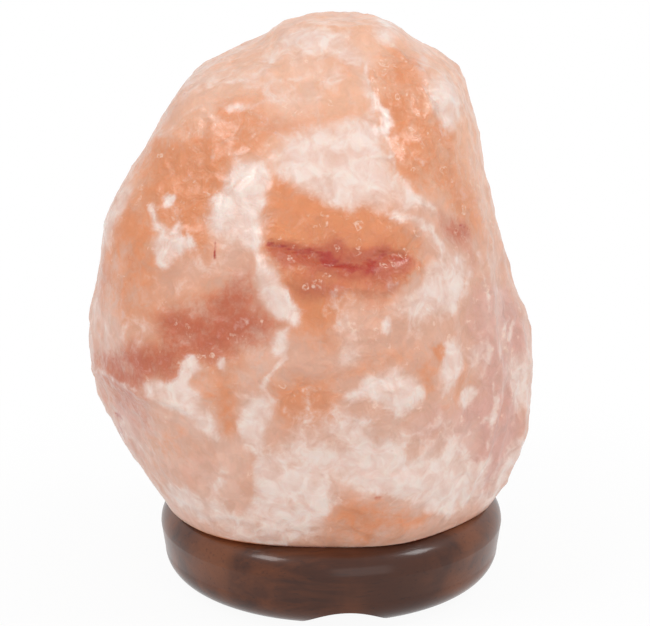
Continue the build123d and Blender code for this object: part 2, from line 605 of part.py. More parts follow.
def contact_carrier():
    """The insulating disc under the screw shell, with a boss that holds the contacts."""
    disc = rod(HOLDER_CAVITY_RADIUS - FIT_CLEARANCE, HOLDER_FLOOR_Z, CARRIER_TOP_Z)
    body = disc + rod(CARRIER_BOSS_RADIUS, CARRIER_FOOT_Z, HOLDER_FLOOR_Z)
    low, high = CARRIER_FOOT_Z - CUT_MARGIN, CARRIER_TOP_Z + CUT_MARGIN
    body -= rod(CENTRE_RIVET_RADIUS + FIT_CLEARANCE, low, high)
    return body - rod(SIDE_RIVET_RADIUS + FIT_CLEARANCE, low, high, SIDE_RIVET_PLACE)


def centre_contact():
    """A domed rivet up through the carrier, with a strip to the right-hand terminal."""
    dome = button(CONTACT_DOME_RADIUS, CARRIER_TOP_Z, CARRIER_TOP_Z + CONTACT_DOME_HEIGHT)
    stem = rod(CENTRE_RIVET_RADIUS, CARRIER_FOOT_Z, CARRIER_TOP_Z)
    end = TERMINAL_PLACE[0] + TERMINAL_SIZE[0] / 2
    strip = block((-CENTRE_RIVET_RADIUS, end), (-CONTACT_WIDTH / 2, TERMINAL_PLACE[1]),
                  (STRIP_FOOT_Z, CARRIER_FOOT_Z))
    return dome + stem + strip


def side_contact():
    """A rivet up to the screw shell's foot, with a strip to the left-hand terminal."""
    stem = rod(SIDE_RIVET_RADIUS, CARRIER_FOOT_Z, CARRIER_TOP_Z, SIDE_RIVET_PLACE)
    end = -TERMINAL_PLACE[0] + TERMINAL_SIZE[0] / 2
    start = min(-TERMINAL_PLACE[0] - TERMINAL_SIZE[0] / 2, SIDE_RIVET_PLACE - SIDE_RIVET_RADIUS)
    strip = block((start, end), (-CONTACT_WIDTH / 2, TERMINAL_PLACE[1]),
                  (STRIP_FOOT_Z, CARRIER_FOOT_Z))
    return stem + strip


def terminal_pair(piece):
    """The piece at the right-hand terminal, and again at the left-hand one."""
    x, y = TERMINAL_PLACE
    return Compound([Pos(x, y, 0) * piece, Pos(-x, y, 0) * piece])


def terminal_blocks():
    """Brass blocks with a wire hole along Y and a screw hole from below."""
    half_x, half_y = TERMINAL_SIZE[0] / 2, TERMINAL_SIZE[1] / 2
    body = block((-half_x, half_x), (-half_y, half_y), (TERMINAL_FOOT_Z, STRIP_FOOT_Z))
    wire_z = STRIP_FOOT_Z - TERMINAL_SIZE[2] * TERMINAL_WIRE_SHARE
    body -= rod_along_y(TERMINAL_WIRE_RADIUS, -half_y - CUT_MARGIN, half_y + CUT_MARGIN, 0,
                        wire_z)
    body -= rod(TERMINAL_SCREW_RADIUS + FIT_CLEARANCE, TERMINAL_FOOT_Z - CUT_MARGIN, wire_z)
    return terminal_pair(body)


def terminal_screws():
    """Slotted screws under the terminal blocks."""
    seat = TERMINAL_FOOT_Z
    head_z = seat - TERMINAL_HEAD_HEIGHT
    screw = rod(TERMINAL_HEAD_RADIUS, head_z, seat)
    screw += rod(TERMINAL_SCREW_RADIUS, seat, seat + TERMINAL_SCREW_LENGTH)
    half = TERMINAL_SLOT_WIDTH / 2
    screw -= block((-TERMINAL_HEAD_RADIUS, TERMINAL_HEAD_RADIUS), (-half, half),
                   (head_z - CUT_MARGIN, head_z + TERMINAL_HEAD_HEIGHT / 2))
    return terminal_pair(screw)


# ---------------------------------------------------------------- screw thread
def helical_ridge(root_radius, crest_radius, start_z, length):
    """A right-handed ridge that winds round Z, with a tapered section."""
    base, crest = THREAD_RIDGE_BASE / 2, THREAD_RIDGE_CREST / 2
    outline = Polyline((root_radius, start_z - base), (crest_radius, start_z - crest),
                       (crest_radius, start_z + crest), (root_radius, start_z + base),
                       close=True)
    path = Edge.make_helix(THREAD_PITCH, length, min(root_radius, crest_radius),
                           center=(0, 0, start_z))
    return Solid.sweep((Plane.XZ * make_face(outline)).face(), path, is_frenet=True)


def screw_shell():
    """The threaded brass shell that the bulb screws into."""
    foot = CARRIER_TOP_Z
    body = ring(SHELL_RADIUS, SHELL_BORE_RADIUS, foot, foot + SHELL_HEIGHT)
    body += ring(SHELL_RADIUS, SHELL_RIM_INNER_RADIUS, foot, foot + SHELL_WALL)
    turns = math.floor((BULB_THREAD_Z - foot - SHELL_THREAD_START) / THREAD_PITCH)
    start = BULB_THREAD_Z - (turns + 0.5) * THREAD_PITCH
    length = foot + SHELL_HEIGHT - THREAD_RIDGE_BASE - start
    ridge = helical_ridge(SHELL_BORE_RADIUS + THREAD_ANCHOR, THREAD_ROOT_RADIUS + THREAD_PLAY,
                          start, length)
    return body + ridge


def bulb_cap():
    """The bulb's threaded brass cap, with a plain rim round the glass."""
    inner = THREAD_ROOT_RADIUS - BULB_CAP_WALL
    rim_z = BULB_CAP_TOP_Z - BULB_CAP_RIM_HEIGHT
    body = ring(THREAD_ROOT_RADIUS, inner, BULB_CAP_FOOT_Z, BULB_CAP_TOP_Z)
    body += ring(BULB_CAP_RIM_RADIUS, inner, rim_z, BULB_CAP_TOP_Z)
    ridge = helical_ridge(THREAD_ROOT_RADIUS - THREAD_ANCHOR / 2, THREAD_MAJOR_RADIUS,
                          BULB_THREAD_Z, BULB_THREAD_LENGTH)
    return body + ridge


# ---------------------------------------------------------------- clips
def clip_bow_radius():
    """Where the bow's outside stands, so that the strip's corners clear the round bore."""
    return math.sqrt(BORE_RADIUS ** 2 - (CLIP_WIDTH / 2) ** 2) - CLIP_WALL_GAP


def clip_strip(x_sign):
    """A bowed spring strip with an eye rolled round its pin."""
    eye_inner = CLIP_PIN_RADIUS + CLIP_PIN_PLAY
    eye_outer = eye_inner + CLIP_THICKNESS
    bow = clip_bow_radius() - CLIP_THICKNESS / 2
    start = (CLIP_PIN_PLACE + eye_inner + CLIP_THICKNESS / 2, CLIP_PIN_Z)
    bow_z = PLATE_TOP_Z + CLIP_BOW_HEIGHT
    tip = (bow - CLIP_TIP_INSET, PLATE_TOP_Z + CLIP_TIP_HEIGHT)
    line = Spline(start, (bow, bow_z), tip, tangents=((0, 1), (tip[0] - bow, tip[1] - bow_z)))
    strip = Plane.XZ * trace(line, CLIP_THICKNESS)
    arm = extrude(strip, CLIP_WIDTH / 2, dir=(0, 1, 0), both=True)
    narrow = block((0, BORE_RADIUS), (-CLIP_EYE_WIDTH / 2, CLIP_EYE_WIDTH / 2),
                   (PLATE_TOP_Z, CLIP_PIN_Z + eye_outer))
    upper = block((0, BORE_RADIUS), (-CLIP_WIDTH, CLIP_WIDTH),
                  (CLIP_PIN_Z + eye_outer, tip[1] + CUT_MARGIN))
    arm = (arm & narrow) + (arm & upper)
    eye = rod_along_y(eye_outer, -CLIP_EYE_WIDTH / 2, CLIP_EYE_WIDTH / 2, CLIP_PIN_PLACE,
                      CLIP_PIN_Z)
    hole = rod_along_y(eye_inner, -CLIP_WIDTH, CLIP_WIDTH, CLIP_PIN_PLACE, CLIP_PIN_Z)
    clip = (arm + eye) - hole
    return clip if x_sign > 0 else Rot(0, 0, 180) * clip


def clip_pins():
    """The clips' pins, each with a head outside either ear."""
    (start, _), (_, end) = ear_spans()
    x, z = CLIP_PIN_PLACE, CLIP_PIN_Z
    pin = rod_along_y(CLIP_PIN_RADIUS, start, end, x, z)
    pin += rod_along_y(PIN_HEAD_RADIUS, start - PIN_HEAD_THICKNESS, start, x, z)
    pin += rod_along_y(PIN_HEAD_RADIUS, end, end + PIN_HEAD_THICKNESS, x, z)
    return both_sides(pin)


def clip_springs():
    """A torsion spring on each pin, beside the clip's eye."""
    coil_radius = CLIP_PIN_RADIUS + SPRING_PLAY + SPRING_WIRE_RADIUS
    start_y = CLIP_EYE_WIDTH / 2 + EAR_GAP + SPRING_WIRE_RADIUS
    path = Edge.make_helix(SPRING_PITCH, SPRING_TURNS * SPRING_PITCH, coil_radius,
                           center=(CLIP_PIN_PLACE, start_y, CLIP_PIN_Z), normal=(0, 1, 0))
    section = Plane(origin=path @ 0, z_dir=path % 0) * Circle(SPRING_WIRE_RADIUS)
    coil = Solid.sweep(section.face(), path, is_frenet=True)
    return Compound([coil, Rot(0, 0, 180) * coil])


# ---------------------------------------------------------------- bulb
def bulb_skin(inset):
    """The bulb's outline from its neck to its crown, drawn in by a wall's thickness."""
    neck = BULB_NECK_RADIUS - inset
    belly = BULB_RADIUS - inset
    belly_z = BULB_TOP_Z - BULB_RADIUS
    neck_z = BULB_CAP_TOP_Z
    foot = (neck, BULB_CAP_TOP_Z - BULB_CAP_RIM_HEIGHT)
    return [Line(foot, (neck, neck_z)),
            Spline((neck, neck_z), (belly, belly_z), tangents=((BULB_NECK_FLARE, 1), (0, 1))),
            JernArc((belly, belly_z), (0, 1), belly, 90)]


def bulb_glass():
    """The blown envelope: a thin wall, open at the neck."""
    outside, inside = bulb_skin(0.0), bulb_skin(BULB_WALL)
    foot = Line(outside[0] @ 0, inside[0] @ 0)
    crown = Line(outside[2] @ 1, inside[2] @ 1)
    return turned(*outside, *inside, foot, crown)


def bulb_stem():
    """The glass stem: a flare sealed to the neck, and a rod up to the lead wires."""
    foot_z = BULB_CAP_TOP_Z - BULB_CAP_RIM_HEIGHT
    flare = BULB_NECK_RADIUS - BULB_WALL - FIT_CLEARANCE
    return turned_polygon([(0, foot_z), (flare, foot_z), (flare, foot_z + BULB_WALL),
                           (STEM_RADIUS, foot_z + STEM_FLARE_HEIGHT),
                           (STEM_RADIUS, foot_z + STEM_HEIGHT), (0, foot_z + STEM_HEIGHT)])


def lead_ends():
    """Foot and top of the right-hand lead wire."""
    foot_z = BULB_CAP_TOP_Z - BULB_CAP_RIM_HEIGHT + STEM_HEIGHT
    return (LEAD_ROOT, foot_z), (LEAD_SPREAD, foot_z + LEAD_RISE)


def lead_wires():
    """Two wires that spread from the stem to the filament's ends."""
    (foot_x, foot_z), (top_x, top_z) = lead_ends()
    wires = []
    for side in (1, -1):
        line = Line((side * foot_x, 0, foot_z), (side * top_x, 0, top_z))
        section = Plane(origin=line @ 0, z_dir=line % 0) * Circle(LEAD_RADIUS)
        wires.append(Solid.sweep(section.face(), line))
    return Compound(wires)


def filament():
    """The coiled wire between the lead wires' ends."""
    _, (top_x, top_z) = lead_ends()
    start = -top_x + LEAD_RADIUS + FILAMENT_WIRE_RADIUS
    path = Edge.make_helix(FILAMENT_PITCH, -2 * start, FILAMENT_COIL_RADIUS,
                           center=(start, 0, top_z), normal=(1, 0, 0))
    section = Plane(origin=path @ 0, z_dir=path % 0) * Circle(FILAMENT_WIRE_RADIUS)
    return Solid.sweep(section.face(), path, is_frenet=True)


def bulb_insulator():
    """The black glass cone between the cap and the tip contact."""
    low = BULB_FOOT_Z + BULB_TIP_HEIGHT
    high = BULB_CAP_FOOT_Z + BULB_INSULATOR_LAP
    return turned_polygon([(0, low), (BULB_TIP_RADIUS + BULB_INSULATOR_RIM, low),
                           (BULB_INSULATOR_TOP_RADIUS, BULB_CAP_FOOT_Z),
                           (BULB_INSULATOR_TOP_RADIUS, high), (0, high)])


def bulb_contact():
    """The solder tip at the bulb's foot."""
    return button(BULB_TIP_RADIUS, BULB_FOOT_Z + BULB_TIP_HEIGHT, BULB_FOOT_Z)


PIECES = {
    "salt_crystal": salt_crystal,
    "wooden_base": wooden_base,
    "felt_pad": felt_pad,
    "base_screws": base_screws,
    "holder_plate": holder_plate,
    "lampholder_shell": lampholder_shell,
    "shell_ring_nut": shell_ring_nut,
    "lampholder_cap": lampholder_cap,
    "cap_screws": cap_screws,
    "cord_gland": cord_gland,
    "contact_carrier": contact_carrier,
    "centre_contact": centre_contact,
    "side_contact": side_contact,
    "terminal_blocks": terminal_blocks,
    "terminal_screws": terminal_screws,
    "screw_shell": screw_shell,
    "clip_left": lambda: clip_strip(-1),
    "clip_right": lambda: clip_strip(1),
    "clip_pins": clip_pins,
    "clip_springs": clip_springs,
    "bulb_cap": bulb_cap,
    "bulb_glass": bulb_glass,
    "bulb_stem": bulb_stem,
    "lead_wires": lead_wires,
    "filament": filament,
    "bulb_insulator": bulb_insulator,
    "bulb_contact": bulb_contact,
}

os.makedirs("parts", exist_ok=True)
for name, make in PIECES.items():
    export_step(make(), f"parts/{name}.step")
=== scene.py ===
import math

import bpy
import numpy as np
from bpy.props import FloatProperty, FloatVectorProperty, IntProperty, PointerProperty
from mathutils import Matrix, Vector


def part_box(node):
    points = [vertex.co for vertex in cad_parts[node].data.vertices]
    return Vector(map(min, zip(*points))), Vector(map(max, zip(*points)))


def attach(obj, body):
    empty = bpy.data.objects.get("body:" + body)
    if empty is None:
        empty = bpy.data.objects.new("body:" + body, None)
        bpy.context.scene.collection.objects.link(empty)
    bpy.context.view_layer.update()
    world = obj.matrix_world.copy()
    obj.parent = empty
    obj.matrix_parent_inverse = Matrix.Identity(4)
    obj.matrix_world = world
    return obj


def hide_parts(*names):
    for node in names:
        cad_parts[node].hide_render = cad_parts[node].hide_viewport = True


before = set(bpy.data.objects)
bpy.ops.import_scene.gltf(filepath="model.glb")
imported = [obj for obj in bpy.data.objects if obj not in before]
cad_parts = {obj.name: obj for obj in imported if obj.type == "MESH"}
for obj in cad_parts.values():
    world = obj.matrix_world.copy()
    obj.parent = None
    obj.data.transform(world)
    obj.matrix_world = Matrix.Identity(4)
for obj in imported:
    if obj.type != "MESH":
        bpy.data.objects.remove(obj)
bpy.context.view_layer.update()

bl_info = {
    "name": "Salt crystal lamp",
    "version": (1, 0, 0),
    "blender": (4, 5, 0),
    "location": "View3D > Sidebar > Salt lamp",
    "description": "Dresses the CAD model of a salt crystal lamp on a turned wooden base",
    "category": "Object",
}

MM = 0.001

# ---- The crystal, as the CAD model has it, in mm ----
FOOT_LEVEL = 27.5
CRYSTAL_TURN = -5.0         # degrees round Z, as it was screwed on
CRYSTAL_SQUARENESS = 2.3    # 2 is a round section, more is squarer
CRYSTAL_EDGE_POWER = 16     # how sharp the edges between broken faces are
BORE_RADIUS = 23.0
BORE_TOP = 122.5
DRILL_POINT = 128.5
CRYSTAL_HEIGHT, CRYSTAL_WIDTH, CRYSTAL_DEPTH = 153.5, 141.0, 124.0
# Height share, then reach to the left and right (of the width), front and back (of the depth)
ROCK_RINGS = np.array([
    (0.000, 0.380, 0.370, 0.395, 0.380), (0.026, 0.398, 0.392, 0.415, 0.403),
    (0.065, 0.430, 0.416, 0.440, 0.431), (0.143, 0.503, 0.449, 0.476, 0.468),
    (0.235, 0.546, 0.456, 0.500, 0.492), (0.326, 0.553, 0.456, 0.508, 0.500),
    (0.430, 0.537, 0.419, 0.500, 0.500), (0.534, 0.518, 0.386, 0.478, 0.492),
    (0.638, 0.518, 0.360, 0.437, 0.476), (0.723, 0.466, 0.336, 0.379, 0.450),
    (0.801, 0.424, 0.329, 0.315, 0.411), (0.860, 0.380, 0.322, 0.250, 0.363),
    (0.912, 0.264, 0.260, 0.177, 0.298), (0.955, 0.158, 0.180, 0.110, 0.232),
    (0.984, 0.109, 0.139, 0.071, 0.189), (1.000, 0.066, 0.103, 0.035, 0.148)])
ROCK_MIDDLE = np.array((-0.033, 0.0, 0.456))
# Broken faces: degrees round from the right, degrees up, distance from the rock's middle
ROCK_FACES = [(-115, 22, 0.381), (-88, 38, 0.391), (-38, 12, 0.375), (-12, 30, 0.459),
              (172, 32, 0.446), (-150, -18, 0.469), (-95, -12, 0.423), (-42, -16, 0.466),
              (135, 14, 0.404), (48, 12, 0.391), (95, 42, 0.463), (100, -14, 0.423)]
# Lumps and hollows: degrees round from the right, height, half width, half height, lean in
# degrees (top to the left, seen from outside) and how far it stands out
ROCK_LUMPS = [
    (-79, 0.658, 0.111, 0.052, 0, -0.0117), (-80, 0.782, 0.104, 0.046, 0, 0.0052),
    (-74, 0.616, 0.117, 0.023, -3, -0.0078), (-74, 0.567, 0.137, 0.036, 0, 0.0117),
    (-57, 0.782, 0.026, 0.169, 23, 0.0104), (-38, 0.808, 0.052, 0.117, 15, -0.0065),
    (-27, 0.866, 0.039, 0.078, 10, 0.0052), (-40, 0.541, 0.059, 0.059, 0, 0.0098),
    (-26, 0.391, 0.029, 0.221, -9, 0.0117), (-14, 0.391, 0.026, 0.143, -6, -0.0078),
    (-37, 0.378, 0.033, 0.117, -6, -0.0065), (-3, 0.404, 0.039, 0.039, 0, 0.0078),
    (-6, 0.300, 0.033, 0.033, 0, 0.0078), (-12, 0.169, 0.039, 0.046, 0, 0.0098),
    (-128, 0.208, 0.111, 0.078, 0, -0.0104), (-150, 0.310, 0.156, 0.026, 2, 0.0085),
    (-118, 0.195, 0.026, 0.124, 15, 0.0085), (-78, 0.130, 0.156, 0.059, 0, 0.0078),
    (-118, 0.469, 0.130, 0.072, 12, -0.0104), (-137, 0.606, 0.046, 0.065, 0, 0.0078),
    (-151, 0.599, 0.033, 0.078, 0, -0.0052), (-97, 0.550, 0.026, 0.078, 15, 0.0065),
    (-65, 0.495, 0.059, 0.046, 0, 0.0059), (-62, 0.352, 0.065, 0.046, 0, 0.0059),
    (-82, 0.378, 0.059, 0.046, 0, -0.0052), (-96, 0.300, 0.059, 0.059, 0, 0.0052),
    (-140, 0.756, 0.117, 0.091, 0, -0.0078), (-150, 0.893, 0.039, 0.033, 0, 0.0065),
    (160, 0.469, 0.078, 0.104, 0, -0.0085), (158, 0.235, 0.078, 0.059, 0, 0.0078),
    (152, 0.730, 0.078, 0.078, 0, 0.0078), (138, 0.400, 0.029, 0.195, 12, 0.0104),
    (120, 0.599, 0.104, 0.085, 0, -0.0104), (116, 0.260, 0.117, 0.078, -10, -0.0098),
    (95, 0.430, 0.130, 0.029, 15, 0.0104), (90, 0.730, 0.091, 0.078, 0, -0.0091),
    (76, 0.163, 0.104, 0.059, 0, 0.0085), (62, 0.534, 0.029, 0.169, -14, 0.0104),
    (44, 0.358, 0.091, 0.085, 0, -0.0098), (40, 0.691, 0.085, 0.072, 0, -0.0085),
    (26, 0.221, 0.091, 0.059, 0, 0.0078), (22, 0.534, 0.039, 0.104, 8, 0.0085),
    (100, 0.899, 0.078, 0.033, 0, 0.0052),
]
COLUMNS = 384
WALL_ROWS, FOOT_ROWS, PEAK_ROWS, LENGTH_STEPS = 13, 9, 15, 2000
DRILL_SHARES = (0.35, 0.7, 1)       # rings of the drill's cone, as shares of the bore's radius
# Scoops and ribs: height in scoop depths, and seed. Creases and grain: height in mm, spacing
# in mm and seed
BROAD_SCOOPS, SMALL_SCOOPS, RIBS = (1.5, 3), (1.0, 11), (2.2, 23)
SMALL_SHARE, SCOOP_MEAN = 0.4, 0.22         # of the broad spacing; mean of a scoop's height
RIB_SPACING, RIB_STRETCH = 7.0, (1, 1, 0.3)
CREASES, CREASE_MEAN, GRAIN, SUNK = (0.4, 6.5, 31), 0.1, (0.12, 3.0, 35), 0.15
# Cosines towards the viewer from which, and at which, a point belongs to the front
RELIEF_FRONT, COLOUR_FRONT = (-0.1, 0.15), (-0.12, 0.12)
# Noises: how far it reaches in mm, its spacing in mm and its seed
WARP = (2.5, 14, 40)                        # of the relief
WANDERS = ((2.6, 13, 60), (1.5, 5, 70), (0.8, 2.6, 80))
NEAR_WANDER, LOOSE_WANDER = 0.7, 1.5        # shares of the wander, for crisp and loose edges
# Stains and painted highlights (glints) on the sides and back, by noise: spacing in mm, seed,
# and where they start and are full
STAINS_BEHIND = {"milk": (30, 90, 0.0, 0.8), "orange": (34, 100, -0.2, 0.8),
                 "brick": (30, 110, 0.2, 1.0), "mauve": (45, 120, -0.1, 0.7),
                 "glint": (26, 130, -0.2, 0.5)}
STRENGTH_BEHIND, APRICOT_HEIGHTS = 0.85, (100, 150)
# Red veins on the sides and back: strength, spacing, seed, half width; and where they break off
VEINS, VEIN_GAPS = (0.9, 60, 140, 0.012), (30, 150, 0.2, 0.5)
MILK_BLUR, ORANGE_BLUR, BRICK_BLUR = 2.2, 2.4, 2.2
FELT_COLUMNS, FELT_ROWS, FELT_SQUARENESS = 40, 240, 7.0
FELT_FUZZ, FUZZ_MEAN = (0.07, 1.6, 5), 0.06     # height in mm, spacing in mm, seed; and its mean
HASH_AXES, HASH_SEED = (73856093, 19349663, 83492791), 2654435761
HASH_MIX = ((15, 2246822519), (13, 3266489917))

# ---- What shows on the crystal's front, as a viewer in front and a little above sees it. An
# area is how far its soft edge reaches in and out in mm, before the blur, its strength and its
# outline, in pixels of a front view 650 across and 626 down. A streak is half width in mm,
# strength and such a line.
VIEW_RISE = 17.0
VIEW_DISTANCE = 850.0
LAMP_MIDDLE = 90.0
FRONT_MIDDLE = (331, 306)
FRONT_SCALE = 3.16          # pixels to a mm
MILK_AREAS = [
    (3.0, .92, [(282, 160), (288, 144), (302, 133), (335, 124), (362, 119), (373, 123), (380, 138),
     (386, 158), (395, 177), (396, 192), (380, 200), (365, 207), (340, 205), (322, 196),
     (305, 186), (292, 177), (284, 170)]),
    (1.8, 1.0, [(232, 154), (250, 157), (265, 158), (268, 170), (266, 188), (262, 202), (260, 220),
     (264, 240), (252, 248), (240, 240), (228, 236), (215, 232), (209, 222), (213, 210),
     (220, 195), (226, 175)]),
    (2.0, .45, [(215, 230), (240, 238), (252, 250), (237, 258), (228, 268), (215, 277), (200, 284),
     (190, 286), (183, 275), (176, 262), (190, 254), (205, 258), (213, 252)]),
    (0.9, .9, [(152, 206), (157, 203), (161, 210), (166, 222), (169, 232), (175, 228), (183, 222),
     (187, 235), (194, 250), (184, 251), (172, 256), (167, 263), (160, 262), (155, 258),
     (150, 250), (150, 240), (156, 233), (154, 222)]),
    (3.0, .4, [(146, 262), (180, 256), (188, 272), (192, 288), (176, 302), (162, 302), (150, 292),
     (142, 274)]),
    (1.2, .95, [(250, 250), (262, 255), (275, 262), (280, 275), (288, 292), (292, 310), (297, 323),
     (284, 320), (270, 314), (260, 303), (256, 288), (253, 268)]),
    (1.0, .8, [(275, 330), (284, 329), (287, 345), (285, 360), (277, 357), (272, 344)]),
    (2.2, .9, [(240, 398), (262, 395), (271, 400), (274, 412), (268, 424), (262, 440), (268, 452),
     (275, 460), (262, 463), (250, 450), (240, 438), (236, 420)]),
    (0.7, .95, [(183, 362), (190, 358), (197, 361), (200, 372), (190, 380), (182, 386), (175, 383),
     (180, 372)]),
    (1.0, .85, [(148, 382), (156, 377), (165, 382), (178, 385), (190, 395), (200, 408), (212, 422),
     (217, 440), (212, 447), (206, 436), (195, 430), (185, 418), (172, 408), (160, 404),
     (150, 398), (144, 391)]),
    (0.7, .85, [(218, 362), (222, 356), (230, 352), (233, 360), (227, 368), (220, 368)]),
    (2.0, .5, [(126, 328), (145, 316), (153, 328), (150, 342), (140, 346), (132, 338)]),
    (2.0, .45, [(102, 325), (112, 318), (119, 332), (112, 343), (104, 338)]),
    # painted rim light: the pale strip at the left rim, where the surroundings light the grazing
    # edge
    (1.6, .7, [(122, 186), (136, 183), (138, 195), (128, 205), (118, 225), (112, 247), (98, 250),
     (98, 222), (106, 202)]),
    (2.5, .45, [(84, 296), (98, 298), (106, 312), (100, 330), (95, 352), (84, 352)]),
    (1.6, .97, [(255, 480), (275, 478), (300, 466), (322, 448), (345, 450), (358, 443), (372, 439),
     (385, 452), (398, 456), (430, 456), (452, 459), (469, 466), (480, 480), (474, 495),
     (462, 504), (450, 510), (430, 512), (405, 500), (385, 490), (365, 488), (345, 480),
     (328, 484), (330, 498), (336, 508), (325, 525), (300, 535), (280, 541), (260, 535),
     (245, 524), (250, 510), (254, 495)]),
    (2.0, .75, [(252, 462), (270, 455), (290, 447), (300, 445), (313, 452), (300, 465), (278, 474),
     (262, 478), (254, 471)]),
    (1.5, .8, [(162, 488), (185, 491), (205, 500), (222, 512), (240, 522), (262, 536), (290, 543),
     (262, 545), (235, 539), (205, 524), (180, 512), (163, 502)]),
    (2.0, .45, [(180, 492), (205, 498), (225, 512), (240, 520), (232, 505), (210, 494)]),
    (1.3, .92, [(372, 378), (385, 374), (400, 372), (418, 377), (423, 390), (425, 403), (418, 410),
     (408, 415), (400, 420), (393, 416), (388, 405), (375, 400), (350, 403), (344, 395),
     (358, 387)]),
    (2.4, .8, [(425, 258), (440, 253), (455, 261), (467, 271), (469, 288), (460, 306), (445, 313),
     (432, 318), (418, 331), (402, 323), (403, 308), (411, 295), (417, 285), (424, 272)]),
    (1.0, .9, [(408, 182), (415, 191), (424, 201), (434, 215), (424, 215), (412, 208), (402, 214),
     (400, 200)]),
    (2.0, .4, [(395, 205), (420, 218), (438, 235), (440, 254), (425, 250), (410, 232),
     (392, 226)]),
    (1.0, .85, [(449, 346), (458, 341), (465, 355), (462, 370), (456, 378), (450, 390), (445, 398),
     (441, 386), (440, 365)]),
    (0.8, .75, [(468, 390), (475, 384), (479, 392), (470, 404), (464, 400)]),
    # painted rim light: the pale patch at the right rim, where the surroundings light the grazing
    # edge
    (1.5, .8, [(506, 368), (514, 354), (528, 352), (536, 375), (536, 400), (527, 410), (518, 401),
     (512, 385)]),
    (0.9, .75, [(479, 462), (488, 457), (489, 468), (479, 477), (472, 474)]),
    (1.3, .8, [(519, 440), (532, 438), (520, 466), (503, 488), (492, 500), (478, 508), (476, 501),
     (493, 480), (507, 459)]),
    (3.0, .85, [(283, 36), (300, 22), (325, 28), (345, 38), (362, 50), (368, 60), (358, 65),
     (340, 58), (320, 62), (300, 62), (285, 56), (270, 50)]),
    (1.5, .8, [(370, 24), (385, 20), (397, 28), (393, 42), (378, 45), (370, 36)]),
    (1.2, .6, [(357, 72), (368, 67), (374, 85), (381, 106), (372, 110), (365, 96), (360, 85)]),
    (1.3, .72, [(431, 80), (445, 73), (456, 84), (461, 105), (457, 122), (447, 129), (438, 118),
     (430, 105), (427, 92)]),
    (3.5, .45, [(410, 38), (440, 48), (470, 78), (478, 110), (464, 108), (455, 80), (430, 66)]),
    (3.0, .5, [(340, 300), (352, 297), (363, 312), (360, 338), (346, 342), (338, 322)]),
    (0.7, .97, [(380, 327), (383, 321), (389, 320), (393, 325), (392, 332), (386, 335),
     (381, 333)]),
    (2.0, .5, [(335, 352), (355, 342), (366, 352), (352, 363), (340, 370), (332, 363)]),
    (0.6, .9, [(170, 199), (174, 194), (178, 197), (176, 203), (171, 204)]),
    (1.0, .75, [(213, 472), (221, 469), (226, 480), (222, 491), (214, 493), (208, 483)]),
    (1.6, .5, [(325, 76), (342, 72), (346, 82), (334, 88), (322, 86)]),
    (3.0, .45, [(190, 72), (225, 58), (262, 52), (280, 62), (250, 78), (215, 92), (195, 98)]),
    (2.0, .35, [(262, 92), (300, 84), (330, 90), (318, 98), (285, 101), (258, 104)]),
    (2.5, .2, [(382, 172), (402, 180), (408, 200), (400, 214), (385, 208), (372, 212),
     (365, 200)]),
    (4.0, .62, [(296, 410), (345, 404), (400, 424), (440, 432), (472, 446), (474, 470), (430, 460),
     (380, 452), (330, 446), (296, 444)]),
    (2.2, .4, [(482, 330), (490, 342), (488, 362), (480, 376), (474, 368), (478, 350)]),
    (2.0, .4, [(445, 410), (462, 418), (456, 445), (444, 452), (440, 436)]),
]
MILK_STREAKS = [
    (1.3, .65, [(362, 62), (372, 88), (380, 112), (386, 140), (398, 172), (410, 196),
     (428, 214)]),
    (1.3, .75, [(392, 216), (412, 224), (428, 231), (437, 244), (438, 256)]),
    (0.9, .6, [(285, 360), (275, 370), (268, 380), (261, 388)]),
    (0.9, .45, [(97, 370), (118, 380), (138, 392), (148, 398)]),
    (1.1, .5, [(120, 420), (132, 436), (143, 446), (150, 462)]),
    (1.0, .5, [(478, 258), (490, 290), (492, 330), (488, 362), (481, 378)]),
    (0.9, .55, [(508, 325), (503, 350), (499, 372), (497, 398), (495, 425), (490, 448)]),
    (0.7, .7, [(497, 400), (495, 418)]),
    (1.6, .35, [(170, 84), (215, 78), (262, 86), (318, 74), (342, 80)]),
    (1.3, .35, [(150, 140), (185, 112), (225, 104), (268, 100), (322, 96)]),
    (0.8, .5, [(398, 436), (394, 452), (410, 458)]),
    (0.9, .35, [(440, 432), (470, 428), (500, 410)]),
]
APRICOT_AREAS = [
    (14.0, 1.0, [(120, 170), (200, 60), (300, 0), (420, 20), (480, 80), (505, 230), (420, 200),
     (300, 160), (230, 230), (150, 260)]),
    (8.0, .25, [(320, 330), (400, 330), (440, 400), (380, 430), (300, 400)]),
]
